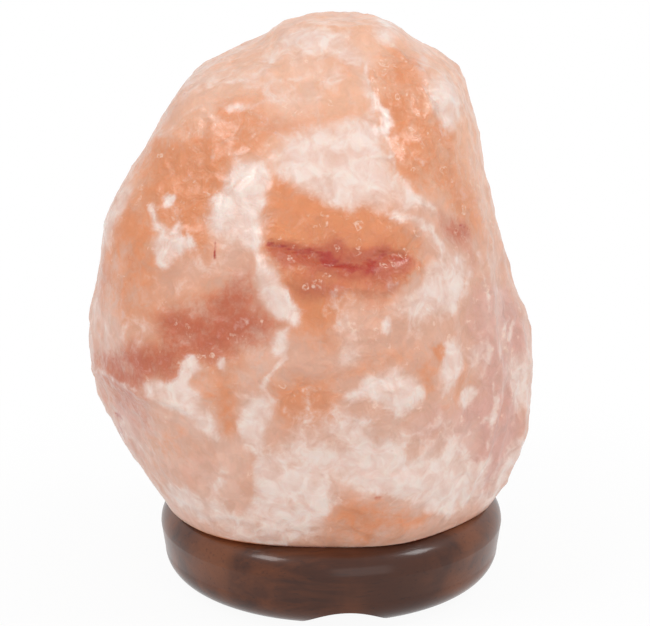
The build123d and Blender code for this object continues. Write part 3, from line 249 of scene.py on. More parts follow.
ORANGE_AREAS = [
    (3.0, .65, [(205, 95), (262, 92), (264, 116), (240, 140), (205, 128)]),
    (2.5, .7, [(384, 108), (400, 110), (412, 160), (425, 190), (405, 180), (392, 150)]),
    (6.0, .55, [(120, 190), (160, 130), (250, 150), (235, 270), (270, 320), (240, 400), (110, 390),
     (95, 280)]),
    (5.0, .6, [(262, 175), (330, 190), (410, 215), (430, 250), (400, 300), (330, 330), (280, 320),
     (255, 250)]),
    (4.0, .9, [(160, 150), (185, 138), (205, 133), (228, 140), (240, 147), (231, 156), (225, 175),
     (218, 195), (210, 212), (205, 226), (198, 238), (190, 240), (186, 225), (175, 228),
     (166, 220), (160, 204), (150, 203), (147, 190), (152, 170)]),
    (2.6, .75, [(113, 222), (133, 203), (150, 212), (150, 235), (147, 258), (140, 287), (130, 284),
     (133, 262), (128, 250), (110, 250)]),
    (1.8, 1.0, [(276, 178), (288, 176), (300, 184), (318, 197), (335, 208), (360, 211), (378, 219),
     (400, 230), (412, 241), (412, 262), (398, 276), (360, 282), (330, 292), (310, 312),
     (296, 310), (288, 290), (280, 272), (272, 260), (266, 248), (268, 225), (271, 200)]),
    (3.5, .7, [(370, 52), (395, 42), (418, 55), (428, 75), (427, 95), (435, 116), (446, 131),
     (458, 152), (470, 190), (482, 232), (470, 236), (450, 215), (432, 198), (418, 188),
     (405, 172), (395, 158), (386, 135), (379, 110), (371, 85), (364, 66)]),
    (3.0, .4, [(330, 60), (355, 58), (361, 72), (345, 82), (331, 78)]),
    (3.0, .5, [(225, 128), (255, 120), (290, 111), (330, 106), (362, 108), (345, 120), (310, 127),
     (280, 134), (258, 147), (238, 144)]),
    (2.2, .8, [(203, 402), (222, 389), (237, 395), (240, 410), (232, 426), (222, 431),
     (210, 418)]),
    (2.8, .8, [(275, 386), (290, 377), (320, 379), (337, 393), (338, 420), (320, 436), (290, 431),
     (277, 415), (271, 400)]),
    (0.8, 1.0, [(430, 350), (440, 345), (446, 351), (442, 361), (433, 359)]),
    (3.5, .85, [(296, 302), (330, 290), (345, 310), (332, 342), (305, 332)]),
    (2.0, .75, [(336, 512), (350, 501), (375, 503), (400, 508), (432, 516), (425, 526), (400, 534),
     (370, 540), (345, 537), (330, 527)]),
    (1.6, .7, [(424, 360), (440, 364), (441, 390), (430, 397), (420, 382), (417, 366)]),
    (3.5, .5, [(150, 430), (175, 424), (192, 435), (183, 456), (165, 457), (151, 446)]),
    (3.0, .5, [(365, 365), (372, 352), (400, 350), (425, 352), (415, 366), (380, 370)]),
    (2.0, .6, [(325, 368), (352, 364), (366, 368), (350, 377), (326, 380)]),
    (1.0, .7, [(440, 126), (456, 131), (457, 136), (445, 133)]),
    (2.2, .6, [(460, 380), (468, 366), (472, 376), (462, 398), (450, 402)]),
]
BRICK_AREAS = [
    (1.2, 1.0, [(270, 240), (300, 244), (340, 246), (385, 250), (408, 250), (404, 264), (370, 272),
     (335, 270), (300, 266), (276, 256)]),
    (3.0, .78, [(228, 268), (245, 257), (251, 268), (256, 290), (262, 306), (275, 318), (274, 334),
     (262, 344), (245, 350), (225, 356), (205, 361), (182, 361), (177, 381), (160, 377),
     (146, 381), (138, 386), (124, 372), (118, 354), (128, 348), (152, 347), (152, 312),
     (165, 304), (190, 298), (210, 287)]),
    (1.4, .95, [(266, 247), (290, 243), (310, 249), (330, 243), (350, 249), (372, 244), (405, 246),
     (412, 256), (400, 269), (380, 274), (350, 273), (330, 270), (300, 270), (285, 270),
     (274, 262)]),
    (3.0, .7, [(282, 270), (330, 270), (370, 270), (402, 268), (398, 290), (345, 290), (312, 306),
     (292, 302)]),
    (3.0, .45, [(96, 264), (108, 268), (110, 292), (98, 304), (90, 300)]),
    (1.5, .7, [(432, 203), (446, 211), (464, 222), (467, 238), (450, 242), (438, 232)]),
    (4.0, .75, [(92, 352), (125, 345), (140, 383), (156, 404), (150, 420), (120, 408),
     (98, 385)]),
    (3.0, .35, [(300, 228), (340, 226), (380, 234), (400, 242), (340, 246), (300, 244)]),
    (0.5, .9, [(369, 499), (376, 496), (384, 499), (376, 502)]),
    (2.5, .35, [(366, 298), (385, 302), (380, 320), (364, 316)]),
    (2.5, .5, [(445, 240), (462, 240), (480, 262), (476, 280), (462, 262)]),
]
MAUVE_AREAS = [
    (6.0, .85, [(470, 290), (500, 280), (530, 330), (528, 400), (520, 460), (480, 505), (465, 500),
     (476, 470), (468, 430), (480, 380), (470, 330)]),
    (5.0, .55, [(440, 395), (480, 400), (476, 465), (440, 456), (410, 440), (400, 425)]),
    (5.0, .7, [(98, 400), (140, 405), (150, 425), (140, 460), (120, 430)]),
    (8.0, .4, [(150, 460), (210, 450), (240, 500), (200, 495), (160, 490)]),
    (6.0, .5, [(90, 300), (110, 300), (118, 350), (96, 380), (88, 340)]),
    (2.0, .5, [(262, 252), (285, 258), (306, 262), (300, 268), (278, 262)]),
    (2.0, .5, [(448, 222), (466, 232), (474, 250), (460, 244)]),
]
# Where the painted highlights (glints) lie on the front; the bump is coarser there too
PAINTED_GLINT_AREAS = [
    (3.0, 1.0, [(372, 50), (395, 40), (425, 70), (440, 120), (452, 175), (430, 190), (400, 160),
     (385, 130), (376, 90)]),
    (3.0, .9, [(440, 140), (475, 150), (492, 230), (470, 250), (445, 215)]),
    (4.0, .55, [(150, 150), (235, 150), (215, 250), (150, 270)]),
    (2.0, 1.0, [(270, 215), (410, 215), (415, 262), (390, 290), (300, 290), (268, 262)]),
    (3.0, .9, [(270, 370), (320, 366), (330, 392), (290, 400), (230, 400), (205, 392),
     (240, 378)]),
    (4.0, .5, [(160, 310), (270, 320), (240, 380), (150, 380)]),
    (3.0, .8, [(470, 270), (515, 280), (530, 420), (490, 440), (470, 400)]),
    (3.0, .8, [(236, 455), (252, 462), (262, 485), (246, 488), (236, 470)]),
    (6.0, .4, [(200, 60), (370, 40), (370, 110), (240, 140), (170, 130)]),
    (6.0, .5, [(340, 300), (460, 320), (470, 440), (380, 450), (330, 400)]),
]
CRACKS = [
    (1.1, 1.0, [(270, 243), (279, 245), (291, 249)]),
    (0.9, .8, [(301, 249), (308, 250)]),
    (1.5, .8, [(314, 254), (323, 253)]),
    (0.8, .6, [(336, 249), (345, 250)]),
    (1.9, .75, [(353, 262), (362, 264), (370, 265)]),
    (2.3, .85, [(300, 252), (325, 257), (352, 262), (378, 263)]),
    (1.6, .7, [(386, 253), (396, 252), (405, 254)]),
    (0.8, .6, [(322, 263), (338, 262), (352, 260)]),
    (0.5, .8, [(217, 236), (214, 246), (213, 256)]),
    (0.7, .7, [(238, 258), (246, 259)]),
    (0.6, .6, [(446, 218), (458, 223), (468, 232)]),
    (0.5, .7, [(131, 250), (135, 264), (134, 284)]),
    (0.6, .5, [(130, 206), (142, 195)]),
    (0.5, .6, [(112, 408), (120, 424), (128, 440)]),
]
# Fine ridges and grooves: height in mm, half width in mm, and the line in those pixels
RIDGES = [
    (-1.1, 1.1, [(270, 243), (291, 249), (314, 254), (345, 259), (370, 263), (405, 253)]),
    (0.5, 1.4, [(362, 62), (372, 88), (380, 112), (386, 140), (398, 172), (410, 196),
     (430, 216)]),
    (0.6, 1.2, [(97, 370), (138, 392), (160, 400), (185, 412), (212, 438), (248, 500)]),
    (-0.7, 1.2, [(428, 80), (436, 112), (452, 132), (472, 160)]),
    (0.7, 1.2, [(478, 258), (490, 290), (492, 330), (488, 362), (481, 378)]),
    (0.8, 1.2, [(508, 325), (503, 350), (499, 372), (497, 398), (495, 425), (478, 470)]),
    (-0.7, 1.2, [(498, 270), (505, 300), (510, 340), (505, 380), (500, 420)]),
    (0.6, 1.2, [(476, 474), (470, 492), (462, 508)]),
    (-0.6, 1.2, [(470, 310), (476, 350), (470, 390), (464, 420)]),
    (0.5, 1.0, [(392, 216), (428, 231), (438, 256)]),
    (-0.5, 1.0, [(131, 250), (135, 264), (134, 284)]),
]


def linear(hex_colour):
    """sRGB hex to linear: v/12.92 below 0.04045, else ((v + 0.055) / 1.055) to the power 2.4."""
    parts = [int(hex_colour[k:k + 2], 16) / 255 for k in (1, 3, 5)]
    return tuple(v / 12.92 if v <= 0.04045 else ((v + 0.055) / 1.055) ** 2.4 for v in parts)


# ---------------------------------------------------------------- shapes
def ease(low, high, value):
    """0 below low, 1 above high, and t * t * (3 - 2 * t) between them."""
    t = np.clip((value - low) / (high - low), 0, 1)
    return t * t * (3 - 2 * t)


def lattice_values(cells, seed):
    """A random number from 0 to 1 for each whole-numbered lattice cell, by integer hashing."""
    keys = cells.astype(np.int64).view(np.uint64)
    mixed = np.bitwise_xor.reduce(keys * np.array(HASH_AXES, np.uint64), axis=-1)
    mixed = mixed ^ np.uint64(seed * HASH_SEED)
    for shift, factor in HASH_MIX:
        mixed = (mixed ^ (mixed >> np.uint64(shift))) * np.uint64(factor)
    return ((mixed >> np.uint64(16)) & np.uint64(0xFFFFF)).astype(float) / 0xFFFFF


def smooth_noise(points, spacing, seed):
    """Noise from -1 to 1: random values on a cubic lattice, mixed between the 8 corners of
    a cell with the weight 6t^5 - 15t^4 + 10t^3 along each axis."""
    scaled = points / spacing
    cell = np.floor(scaled)
    t = scaled - cell
    t = t ** 3 * (t * (6 * t - 15) + 10)
    total = np.zeros(points.shape[:-1])
    for corner in np.ndindex(2, 2, 2):
        weight = np.prod(np.where(corner, t, 1 - t), axis=-1)
        total += weight * lattice_values(cell + np.array(corner), seed)
    return 2 * total - 1


def layered_noise(points, spacing, seed, layers=3):
    """Layers of smooth noise, each half as wide and half as strong as the one before."""
    return sum(smooth_noise(points, spacing / 2 ** k, seed + k) / 2 ** k for k in range(layers))


def scoops(points, spacing, seed, softness=18.0):
    """Shallow bowls that meet in ridges, as on chipped stone: a soft minimum, over the
    jittered lattice points near by, of the squared distance in spacings."""
    scaled = points / spacing
    cell = np.floor(scaled)
    total = np.zeros(points.shape[:-1])
    for near in np.ndindex(3, 3, 3):
        other = cell + np.array(near) - 1
        centre = other + np.stack([lattice_values(other, seed + k) for k in range(3)], axis=-1)
        total += np.exp(-softness * ((scaled - centre) ** 2).sum(axis=-1))
    return -np.log(total + 1e-12) / softness


def ring_reach(share):
    """Left, right, front and back reach at each height share: cubics through the rings, whose
    slope at a ring is the harmonic mean of those beside it, or 0 where they turn round."""
    heights, reach = ROCK_RINGS[:, 0], ROCK_RINGS[:, 1:]
    gap = np.diff(heights)[:, None]
    slope = np.diff(reach, axis=0) / gap
    product = slope[:-1] * slope[1:]
    total = np.where(product > 0, slope[:-1] + slope[1:], 1.0)
    tangent = np.vstack([slope[:1], np.where(product > 0, 2 * product / total, 0), slope[-1:]])
    k = np.clip(np.searchsorted(heights, share, side="right") - 1, 0, len(gap) - 1)
    t = ((share - heights[k]) / gap[k, 0])[..., None]
    return ((2 * t ** 3 - 3 * t ** 2 + 1) * reach[k]
            + (t ** 3 - 2 * t ** 2 + t) * gap[k] * tangent[k]
            + (3 * t ** 2 - 2 * t ** 3) * reach[k + 1]
            + (t ** 3 - t ** 2) * gap[k] * tangent[k + 1])


def lump_height(share, angle, reach):
    """How far the lumps and hollows lift the skin, in mm: the sum of relief * exp(-(a/w)^2 -
    (b/h)^2), where a and b are the offsets from the lump's middle along its leaning axes."""
    total = np.zeros_like(reach)
    for around, height, half_width, half_height, lean, relief in ROCK_LUMPS:
        turned_by = np.remainder(angle - math.radians(around) + math.pi, 2 * math.pi) - math.pi
        across, up = turned_by * reach / CRYSTAL_HEIGHT, share - height
        c, s = math.cos(math.radians(lean)), math.sin(math.radians(lean))
        total += relief * np.exp(-((across * c + up * s) / half_width) ** 2
                                 - ((up * c - across * s) / half_height) ** 2)
    return CRYSTAL_HEIGHT * total


def crystal_surface(share, angle, inward=1.0):
    """Points on the crystal, in mm, before its turn. Each level section is a squarish oval
    (|cos/a|^n + |sin/b|^n)^(-1/n) round the ring's middle, cut back by the broken faces: the
    reach is (sum of the distances^-p)^(-1/p), with the lumps added. inward draws the points
    towards the middle."""
    left, right, front, back = np.moveaxis(ring_reach(share), -1, 0)
    centre = np.stack([CRYSTAL_WIDTH * (right - left) / 2, CRYSTAL_DEPTH * (back - front) / 2,
                       CRYSTAL_HEIGHT * share], axis=-1)
    across, along = CRYSTAL_WIDTH * (left + right) / 2, CRYSTAL_DEPTH * (front + back) / 2
    cosine, sine = np.cos(angle), np.sin(angle)
    power, edge = CRYSTAL_SQUARENESS, CRYSTAL_EDGE_POWER
    section = (np.abs(cosine / across) ** power + np.abs(sine / along) ** power) ** (-1 / power)
    total = section ** -edge
    for around, up, distance in np.radians(ROCK_FACES) * (1, 1, 180 / math.pi):
        normal = np.array((math.cos(up) * math.cos(around), math.cos(up) * math.sin(around),
                           math.sin(up)))
        ahead = normal[0] * cosine + normal[1] * sine
        offset = (centre - CRYSTAL_HEIGHT * ROCK_MIDDLE) @ normal
        reach = (CRYSTAL_HEIGHT * distance - offset) / np.maximum(ahead, 1e-3)
        total = total + np.where(ahead > 1e-3, np.maximum(reach, 1.0) ** -edge, 0)
    reach = total ** (-1 / edge)
    reach = (reach + lump_height(share, angle, reach)) * inward
    return centre + np.stack([reach * cosine, reach * sine, np.full_like(reach, FOOT_LEVEL)], -1)


def seen_from_front(points):
    """Where each point appears to a viewer in front of the lamp and a little above, in mm
    across and up from its middle: offsets along the viewer's right and up, times the
    viewing distance over the point's own distance along the line of sight."""
    rise = math.radians(VIEW_RISE)
    x, y, z = points[..., 0], points[..., 1], points[..., 2] - LAMP_MIDDLE
    scale = VIEW_DISTANCE / (VIEW_DISTANCE + y * math.cos(rise) - z * math.sin(rise))
    return x * scale, (y * math.sin(rise) + z * math.cos(rise)) * scale


def front_line(line, closed=False):
    """A line of front-view pixels in mm across and up from the lamp's middle."""
    points = [((x - FRONT_MIDDLE[0]) / FRONT_SCALE, (FRONT_MIDDLE[1] - y) / FRONT_SCALE)
              for x, y in line]
    return points + points[:1] if closed else points


def area_field(across, up, areas, blur=1.0):
    """1 - product of (1 - area). An area rises from 0 to its strength over its soft edge, by
    the distance from its outline, which counts as positive where a level line from the point
    crosses the outline an odd number of times. blur widens all the edges."""
    clear = np.ones_like(across)
    for soft, strength, outline in areas:
        line = front_line(outline, closed=True)
        inside = np.zeros(across.shape, bool)
        for (x0, z0), (x1, z1) in zip(line[:-1], line[1:]):
            if z0 != z1:
                inside ^= (((z0 > up) != (z1 > up))
                           & (across < x0 + (up - z0) * (x1 - x0) / (z1 - z0)))
        distance = np.where(inside, 1, -1) * line_distance(across, up, line)
        clear *= 1 - strength * ease(-soft * blur, soft * blur, distance)
    return 1 - clear


def line_distance(across, up, line):
    """Distance of each point from a line of straight runs."""
    nearest = np.full_like(across, 1e6)
    for (x0, z0), (x1, z1) in zip(line[:-1], line[1:]):
        run = np.array((x1 - x0, z1 - z0), float)
        t = np.clip(((across - x0) * run[0] + (up - z0) * run[1]) / (run @ run), 0, 1)
        nearest = np.minimum(nearest, np.hypot(across - x0 - t * run[0], up - z0 - t * run[1]))
    return nearest


def streak_field(across, up, streaks):
    """1 - product of (1 - streak), where a streak is strength * exp(-(distance / width)^2)."""
    clear = np.ones_like(across)
    for half_width, strength, line in streaks:
        distance = line_distance(across, up, front_line(line))
        clear *= 1 - strength * np.exp(-(distance / half_width) ** 2)
    return 1 - clear


def grid_normals(points):
    """Unit normals of a grid that closes round its columns: the cross product of the
    differences along the columns and along the rows."""
    along = np.roll(points, -1, axis=1) - np.roll(points, 1, axis=1)
    up = np.gradient(points, axis=0)
    normal = np.cross(along, up)
    return normal / np.maximum(np.linalg.norm(normal, axis=-1, keepdims=True), 1e-9)


def grid_faces(rows, columns):
    """Faces of a grid that closes round its columns: quads between neighbours, and a fan of
    triangles at either end, to two more corners that follow the grid's own."""
    row, column = np.meshgrid(np.arange(rows - 1), np.arange(columns), indexing="ij")
    beside = (column + 1) % columns
    quads = np.stack([row * columns + column, row * columns + beside,
                      (row + 1) * columns + beside, (row + 1) * columns + column], axis=-1)
    column, beside, end = column[0], beside[0], (rows - 1) * columns
    first = np.full(columns, rows * columns)
    fans = [np.stack([first, beside, column], -1),
            np.stack([end + column, end + beside, first + 1], -1)]
    return quads.reshape(-1, 4).tolist() + np.concatenate(fans).tolist()


def mesh_piece(name, points, ends, material, body, nodes, fields=None):
    """Makes one finished object at the origin from a grid of points that closes round its
    columns, and the two corners that close its ends, in metres."""
    mesh = bpy.data.meshes.new(name)
    mesh.from_pydata(np.concatenate([points.reshape(-1, 3), ends]).tolist(), [],
                     grid_faces(*points.shape[:2]))
    mesh.polygons.foreach_set("use_smooth", np.ones(len(mesh.polygons), bool))
    for field, values in (fields or {}).items():
        mesh.attributes.new(field, "FLOAT", "POINT").data.foreach_set("value", values)
    mesh.materials.append(material)
    mesh.update()
    piece = bpy.data.objects.new(name, mesh)
    bpy.context.collection.objects.link(piece)
    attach(piece, body)
    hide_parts(*nodes)
    return piece


def crystal_rows(settings):
    """The crystal's grid, row by row: from the drill point down the bore, out along the foot,
    up the outside in even steps and in across the flat peak. Returns the points in mm before
    the turn, and how much of the broken relief each row takes."""
    angle = np.linspace(0, 2 * math.pi, COLUMNS, endpoint=False)
    ring = np.stack([np.cos(angle), np.sin(angle)], axis=-1)
    wall = [(BORE_RADIUS * s, DRILL_POINT - (DRILL_POINT - BORE_TOP) * s) for s in DRILL_SHARES]
    wall += [(BORE_RADIUS, z) for z in np.linspace(BORE_TOP, FOOT_LEVEL, WALL_ROWS)[1:]]
    radius, level = np.array(wall).T
    bore = np.concatenate([radius[:, None, None] * ring,
                           np.broadcast_to(level[:, None, None], (len(wall), COLUMNS, 1))], -1)
    fine = np.linspace(0, 1, LENGTH_STEPS)
    reach = ring_reach(fine).mean(axis=1) * CRYSTAL_WIDTH
    length = np.cumsum(np.hypot(np.gradient(reach), np.gradient(fine * CRYSTAL_HEIGHT)))
    share = np.interp(np.linspace(length[0], length[-1], settings.rows), length, fine)
    share[0], share[-1] = 0, 1
    side = crystal_surface(*np.meshgrid(share, angle, indexing="ij"))
    foot = bore[-1] + np.linspace(0, 1, FOOT_ROWS)[1:-1, None, None] * (side[0] - bore[-1])
    inward = np.linspace(1, 0, PEAK_ROWS)[1:-1]
    shape = len(inward), COLUMNS
    peak = crystal_surface(np.ones(shape), np.broadcast_to(angle, shape), inward[:, None])
    points = np.concatenate([bore, foot, side, peak])
    hidden = len(bore) + len(foot)
    strength = np.concatenate([np.zeros(hidden), ease(0, 0.05, share), np.ones(len(inward))])
    return points, strength


def crystal_relief(points, normals, settings):
    """How far each point stands out from the plain form, in mm: two sizes of scoops, long
    ribs on the right, creases, grain, and the fine ridges and grooves of the front."""
    warped = points + wandering(points, WARP)
    across, up = seen_from_front(warped)
    front = ease(*RELIEF_FRONT, normals @ sight_line())
    right = ease(25, 45, points[..., 0]) * ease(-1, 8, 25 - points[..., 1])
    depth, spacing = settings.scoop_depth / MM, settings.scoop_spacing / MM
    broad, small, ribs = (
        height * (scoops(place, wide, seed) - SCOOP_MEAN)
        for place, wide, (height, seed) in ((warped, spacing, BROAD_SCOOPS),
                                            (warped, spacing * SMALL_SHARE, SMALL_SCOOPS),
                                            (warped * RIB_STRETCH, RIB_SPACING, RIBS)))
    relief = depth * (broad * (1 - 0.5 * right) + small + ribs * right)
    height, wide, seed = CREASES
    relief -= height * np.abs(layered_noise(warped, wide, seed, 2)) - CREASE_MEAN
    height, wide, seed = GRAIN
    relief += height * layered_noise(points, wide, seed, 2)
    for height, half_width, line in RIDGES:
        distance = line_distance(across, up, front_line(line))
        relief += front * height * np.exp(-(distance / half_width) ** 2)
    return relief - SUNK


def wandering(points, *noises):
    """Steps in x, y and z by which points wander, in mm: the sum of the noises' reaches."""
    return np.stack([sum(reach * smooth_noise(points, spacing, seed + k)
                         for reach, spacing, seed in noises) for k in range(3)], -1)


def sight_line():
    """The direction from the lamp towards the viewer in front."""
    rise = math.radians(VIEW_RISE)
    return np.array((0.0, -math.cos(rise), math.sin(rise)))


def crystal_fields(points, normals):
    """How much of each colour a point has, from 0 to 1, and where the painted highlights (glints)
    go. The front follows its own patches, with their edges wandering by warped positions, and
    the sides and back follow noise of the same sizes."""
    wander = wandering(points, *WANDERS)
    across, up = seen_from_front(points + wander)
    near = seen_from_front(points + NEAR_WANDER * wander)
    front = ease(*COLOUR_FRONT, normals @ sight_line())
    loose = points + LOOSE_WANDER * wander
    shares = {"milk": np.maximum(area_field(*near, MILK_AREAS, MILK_BLUR),
                                 streak_field(*near, MILK_STREAKS)),
              "orange": area_field(*near, ORANGE_AREAS, ORANGE_BLUR),
              "brick": area_field(*near, BRICK_AREAS, BRICK_BLUR),
              "mauve": area_field(across, up, MAUVE_AREAS),
              "glint": area_field(across, up, PAINTED_GLINT_AREAS)}
    fields = {}
    for name, share in shares.items():
        spacing, seed, low, high = STAINS_BEHIND[name]
        behind = ease(low, high, layered_noise(loose, spacing, seed, 4))
        fields[name] = front * share + (1 - front) * STRENGTH_BEHIND * behind
    upper = ease(*APRICOT_HEIGHTS, points[..., 2])
    fields["apricot"] = front * area_field(across, up, APRICOT_AREAS) + (1 - front) * upper
    strength, spacing, seed, width = VEINS
    veins = np.exp(-(layered_noise(loose, spacing, seed, 3) / width) ** 2)
    spacing, seed, low, high = VEIN_GAPS
    fields["crack"] = (front * streak_field(*near, CRACKS) + strength * (1 - front) * veins
                       * ease(low, high, smooth_noise(points, spacing, seed)))
    return fields


def salt_crystal(settings, material):
    """The whole crystal as one closed skin."""
    points, strength = crystal_rows(settings)
    normals = grid_normals(points)
    relief = crystal_relief(points, normals, settings) * strength[:, None]
    points = points + normals * relief[..., None]
    fields = crystal_fields(points, grid_normals(points))
    turn = math.radians(CRYSTAL_TURN)
    turned = np.array(((math.cos(turn), -math.sin(turn), 0), (math.sin(turn), math.cos(turn), 0),
                       (0, 0, 1)))
    points = points @ turned.T * MM
    low, high = (np.array(corner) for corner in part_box("salt_crystal"))
    points = np.clip(points, low, high)
    poles = np.array(((0, 0, DRILL_POINT * MM), points[-1].mean(axis=0)))
    values = {name: np.concatenate([field.ravel(), field[0, :1], field[-1, :1]])
              for name, field in fields.items()}
    return mesh_piece("salt_crystal_rough", points, poles, material, "stand",
                      ["salt_crystal"], values)


def felt_ring(settings, material):
    """The felt ring, open where the channel runs. Its section is a rounded rectangle
    |x/a|^n + |z/b|^n = 1, carried round between two straight cut ends at x = +-half gap: at
    radius r the ring runs over 2 pi - 2 asin(half gap / r). Loose fibres roughen it."""
    low, high = (np.array(corner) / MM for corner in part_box("felt_pad"))
    inner, outer, half_gap = settings.felt_inner / MM, high[0], settings.felt_gap / MM / 2
    thick = high[2] - low[2]
    section = np.linspace(0, 2 * math.pi, FELT_COLUMNS, endpoint=False)
    around, section = np.meshgrid(np.linspace(0, 1, FELT_ROWS), section, indexing="ij")
    c, s = np.cos(section), np.sin(section)
    power = 2 / FELT_SQUARENESS
    radius = (inner + outer) / 2 + (outer - inner) / 2 * np.sign(c) * np.abs(c) ** power
    level = low[2] + thick / 2 + thick / 2 * np.sign(s) * np.abs(s) ** power
    open_half = np.arcsin(half_gap / radius)
    angle = -math.pi / 2 + open_half + around * (2 * math.pi - 2 * open_half)
    points = np.stack([radius * np.cos(angle), radius * np.sin(angle), level], -1)
    height, wide, seed = FELT_FUZZ
    fuzz = height * layered_noise(points, wide, seed, 2) - FUZZ_MEAN
    points = np.clip(points - grid_normals(points) * np.abs(fuzz)[..., None], low, high)
    ends = points[[0, -1]].mean(axis=1)
    return mesh_piece("felt_ring", points * MM, ends * MM, material, "stand",
                      ["felt_pad"])


# ---------------------------------------------------------------- materials
def add(tree, kind, inputs=None, output=0, **settings):
    """Adds one node with its settings, gives its inputs values or links, and returns an output."""
    node = tree.nodes.new(kind)
    for key, value in settings.items():
        setattr(node, key, value)
    for key, value in (inputs or {}).items():
        if isinstance(value, bpy.types.NodeSocket):
            tree.links.new(value, node.inputs[key])
        else:
            node.inputs[key].default_value = value
    return node.outputs[output] if len(node.outputs) else node


def maths(tree, operation, *values):
    """One step of arithmetic on numbers or links."""
    return add(tree, "ShaderNodeMath", dict(enumerate(values)), operation=operation)


def noise(tree, place, size, detail, rough=0.5, twist=0.0, output=0):
    """Noise whose lumps are about size mm wide."""
    inputs = {"Vector": place, "Scale": 1 / (size * MM), "Detail": detail, "Roughness": rough,
              "Distortion": twist}
    return add(tree, "ShaderNodeTexNoise", inputs, output)


def spread(tree, value, low=0.0, high=1.0, to_low=0.0, to_high=1.0, curve="LINEAR"):
    """Carries low to high over to to_low to to_high, and stays at those ends beyond them."""
    inputs = {"Value": value, "From Min": low, "From Max": high, "To Min": to_low,
              "To Max": to_high}
    return add(tree, "ShaderNodeMapRange", inputs, interpolation_type=curve)


def mix(tree, share, colour, tint, blend="MIX"):
    """Lays a share of the tint over the colour. Either is a link or three numbers."""
    colour, tint = (value if isinstance(value, bpy.types.NodeSocket) else opaque(value)
                    for value in (colour, tint))
    return add(tree, "ShaderNodeMix", {0: share, 6: colour, 7: tint}, 2, data_type="RGBA",
               blend_type=blend)


def raised(tree, height, strength, relief):
    """The normal of a surface raised by height, with its relief in mm."""
    inputs = {"Height": height, "Strength": strength, "Distance": relief * MM}
    return add(tree, "ShaderNodeBump", inputs, "Normal")


def opaque(colour):
    return (*colour, 1.0)


def start_material(name):
    """An empty material, its node tree, and the position on the piece in metres."""
    material = bpy.data.materials.new(name)
    material.use_nodes = True
    tree = material.node_tree
    tree.nodes.clear()
    return material, tree, add(tree, "ShaderNodeTexCoord", output="Object")


def end_material(tree, shader):
    add(tree, "ShaderNodeOutputMaterial", {"Surface": shader})


def end_surface(tree, colour, rough, normal, inputs):
    """Ends a material with one coated or bare surface."""
    end_material(tree, add(tree, "ShaderNodeBsdfPrincipled", {
        "Base Color": colour, "Roughness": rough, "Normal": normal, **inputs}))


# The salt's noises (wide, mid, fine, veil): size in mm, detail, roughness, distortion
SALT_NOISES = ((17, 3.0, 0.5, 1.0), (5.0, 4.0, 0.55, 0.7), (1.4, 3.0, 0.6, 0.3),
               (34, 5.0, 0.55, 1.6))
# The salt's stains: mask, the field it follows, how ragged its edge is, start and full
SALT_MASKS = (("halo", "milk", 0.9, 0.02, 0.7), ("milk", "milk", 1.6, 0.12, 1.0),
              ("apricot", "apricot", 0.5, 0.1, 0.9), ("orange", "orange", 1.2, 0.05, 0.95),
              ("brick", "brick", 1.0, 0.1, 1.05), ("mauve", "mauve", 0.8, 0.1, 0.95),
              ("crack", "crack", 1.6, 0.4, 1.0))
# Painted highlights: cells, arcs and bending of the pale glints painted into the salt's colour
PAINTED_GLINT_CELL, CLEAVAGE_CELL = 3.4, 3.6        # mm
PAINTED_GLINT_RADIUS, PAINTED_GLINT_EDGE = 0.26, (0.17, 0.04)       # of a cell: an arc's radius and its soft edge
PAINTED_GLINT_BEND, BEND_SIZE = 4.5, 3              # how far the cells are bent, and how wide, in mm
# Painted shade on the wood: a darker band a little right of the front, along x
SHADE_BAND_MIDDLE, SHADE_BAND_CORE, SHADE_BAND_REACH = 16, 4, 26   # the wood's darker band, mm along x


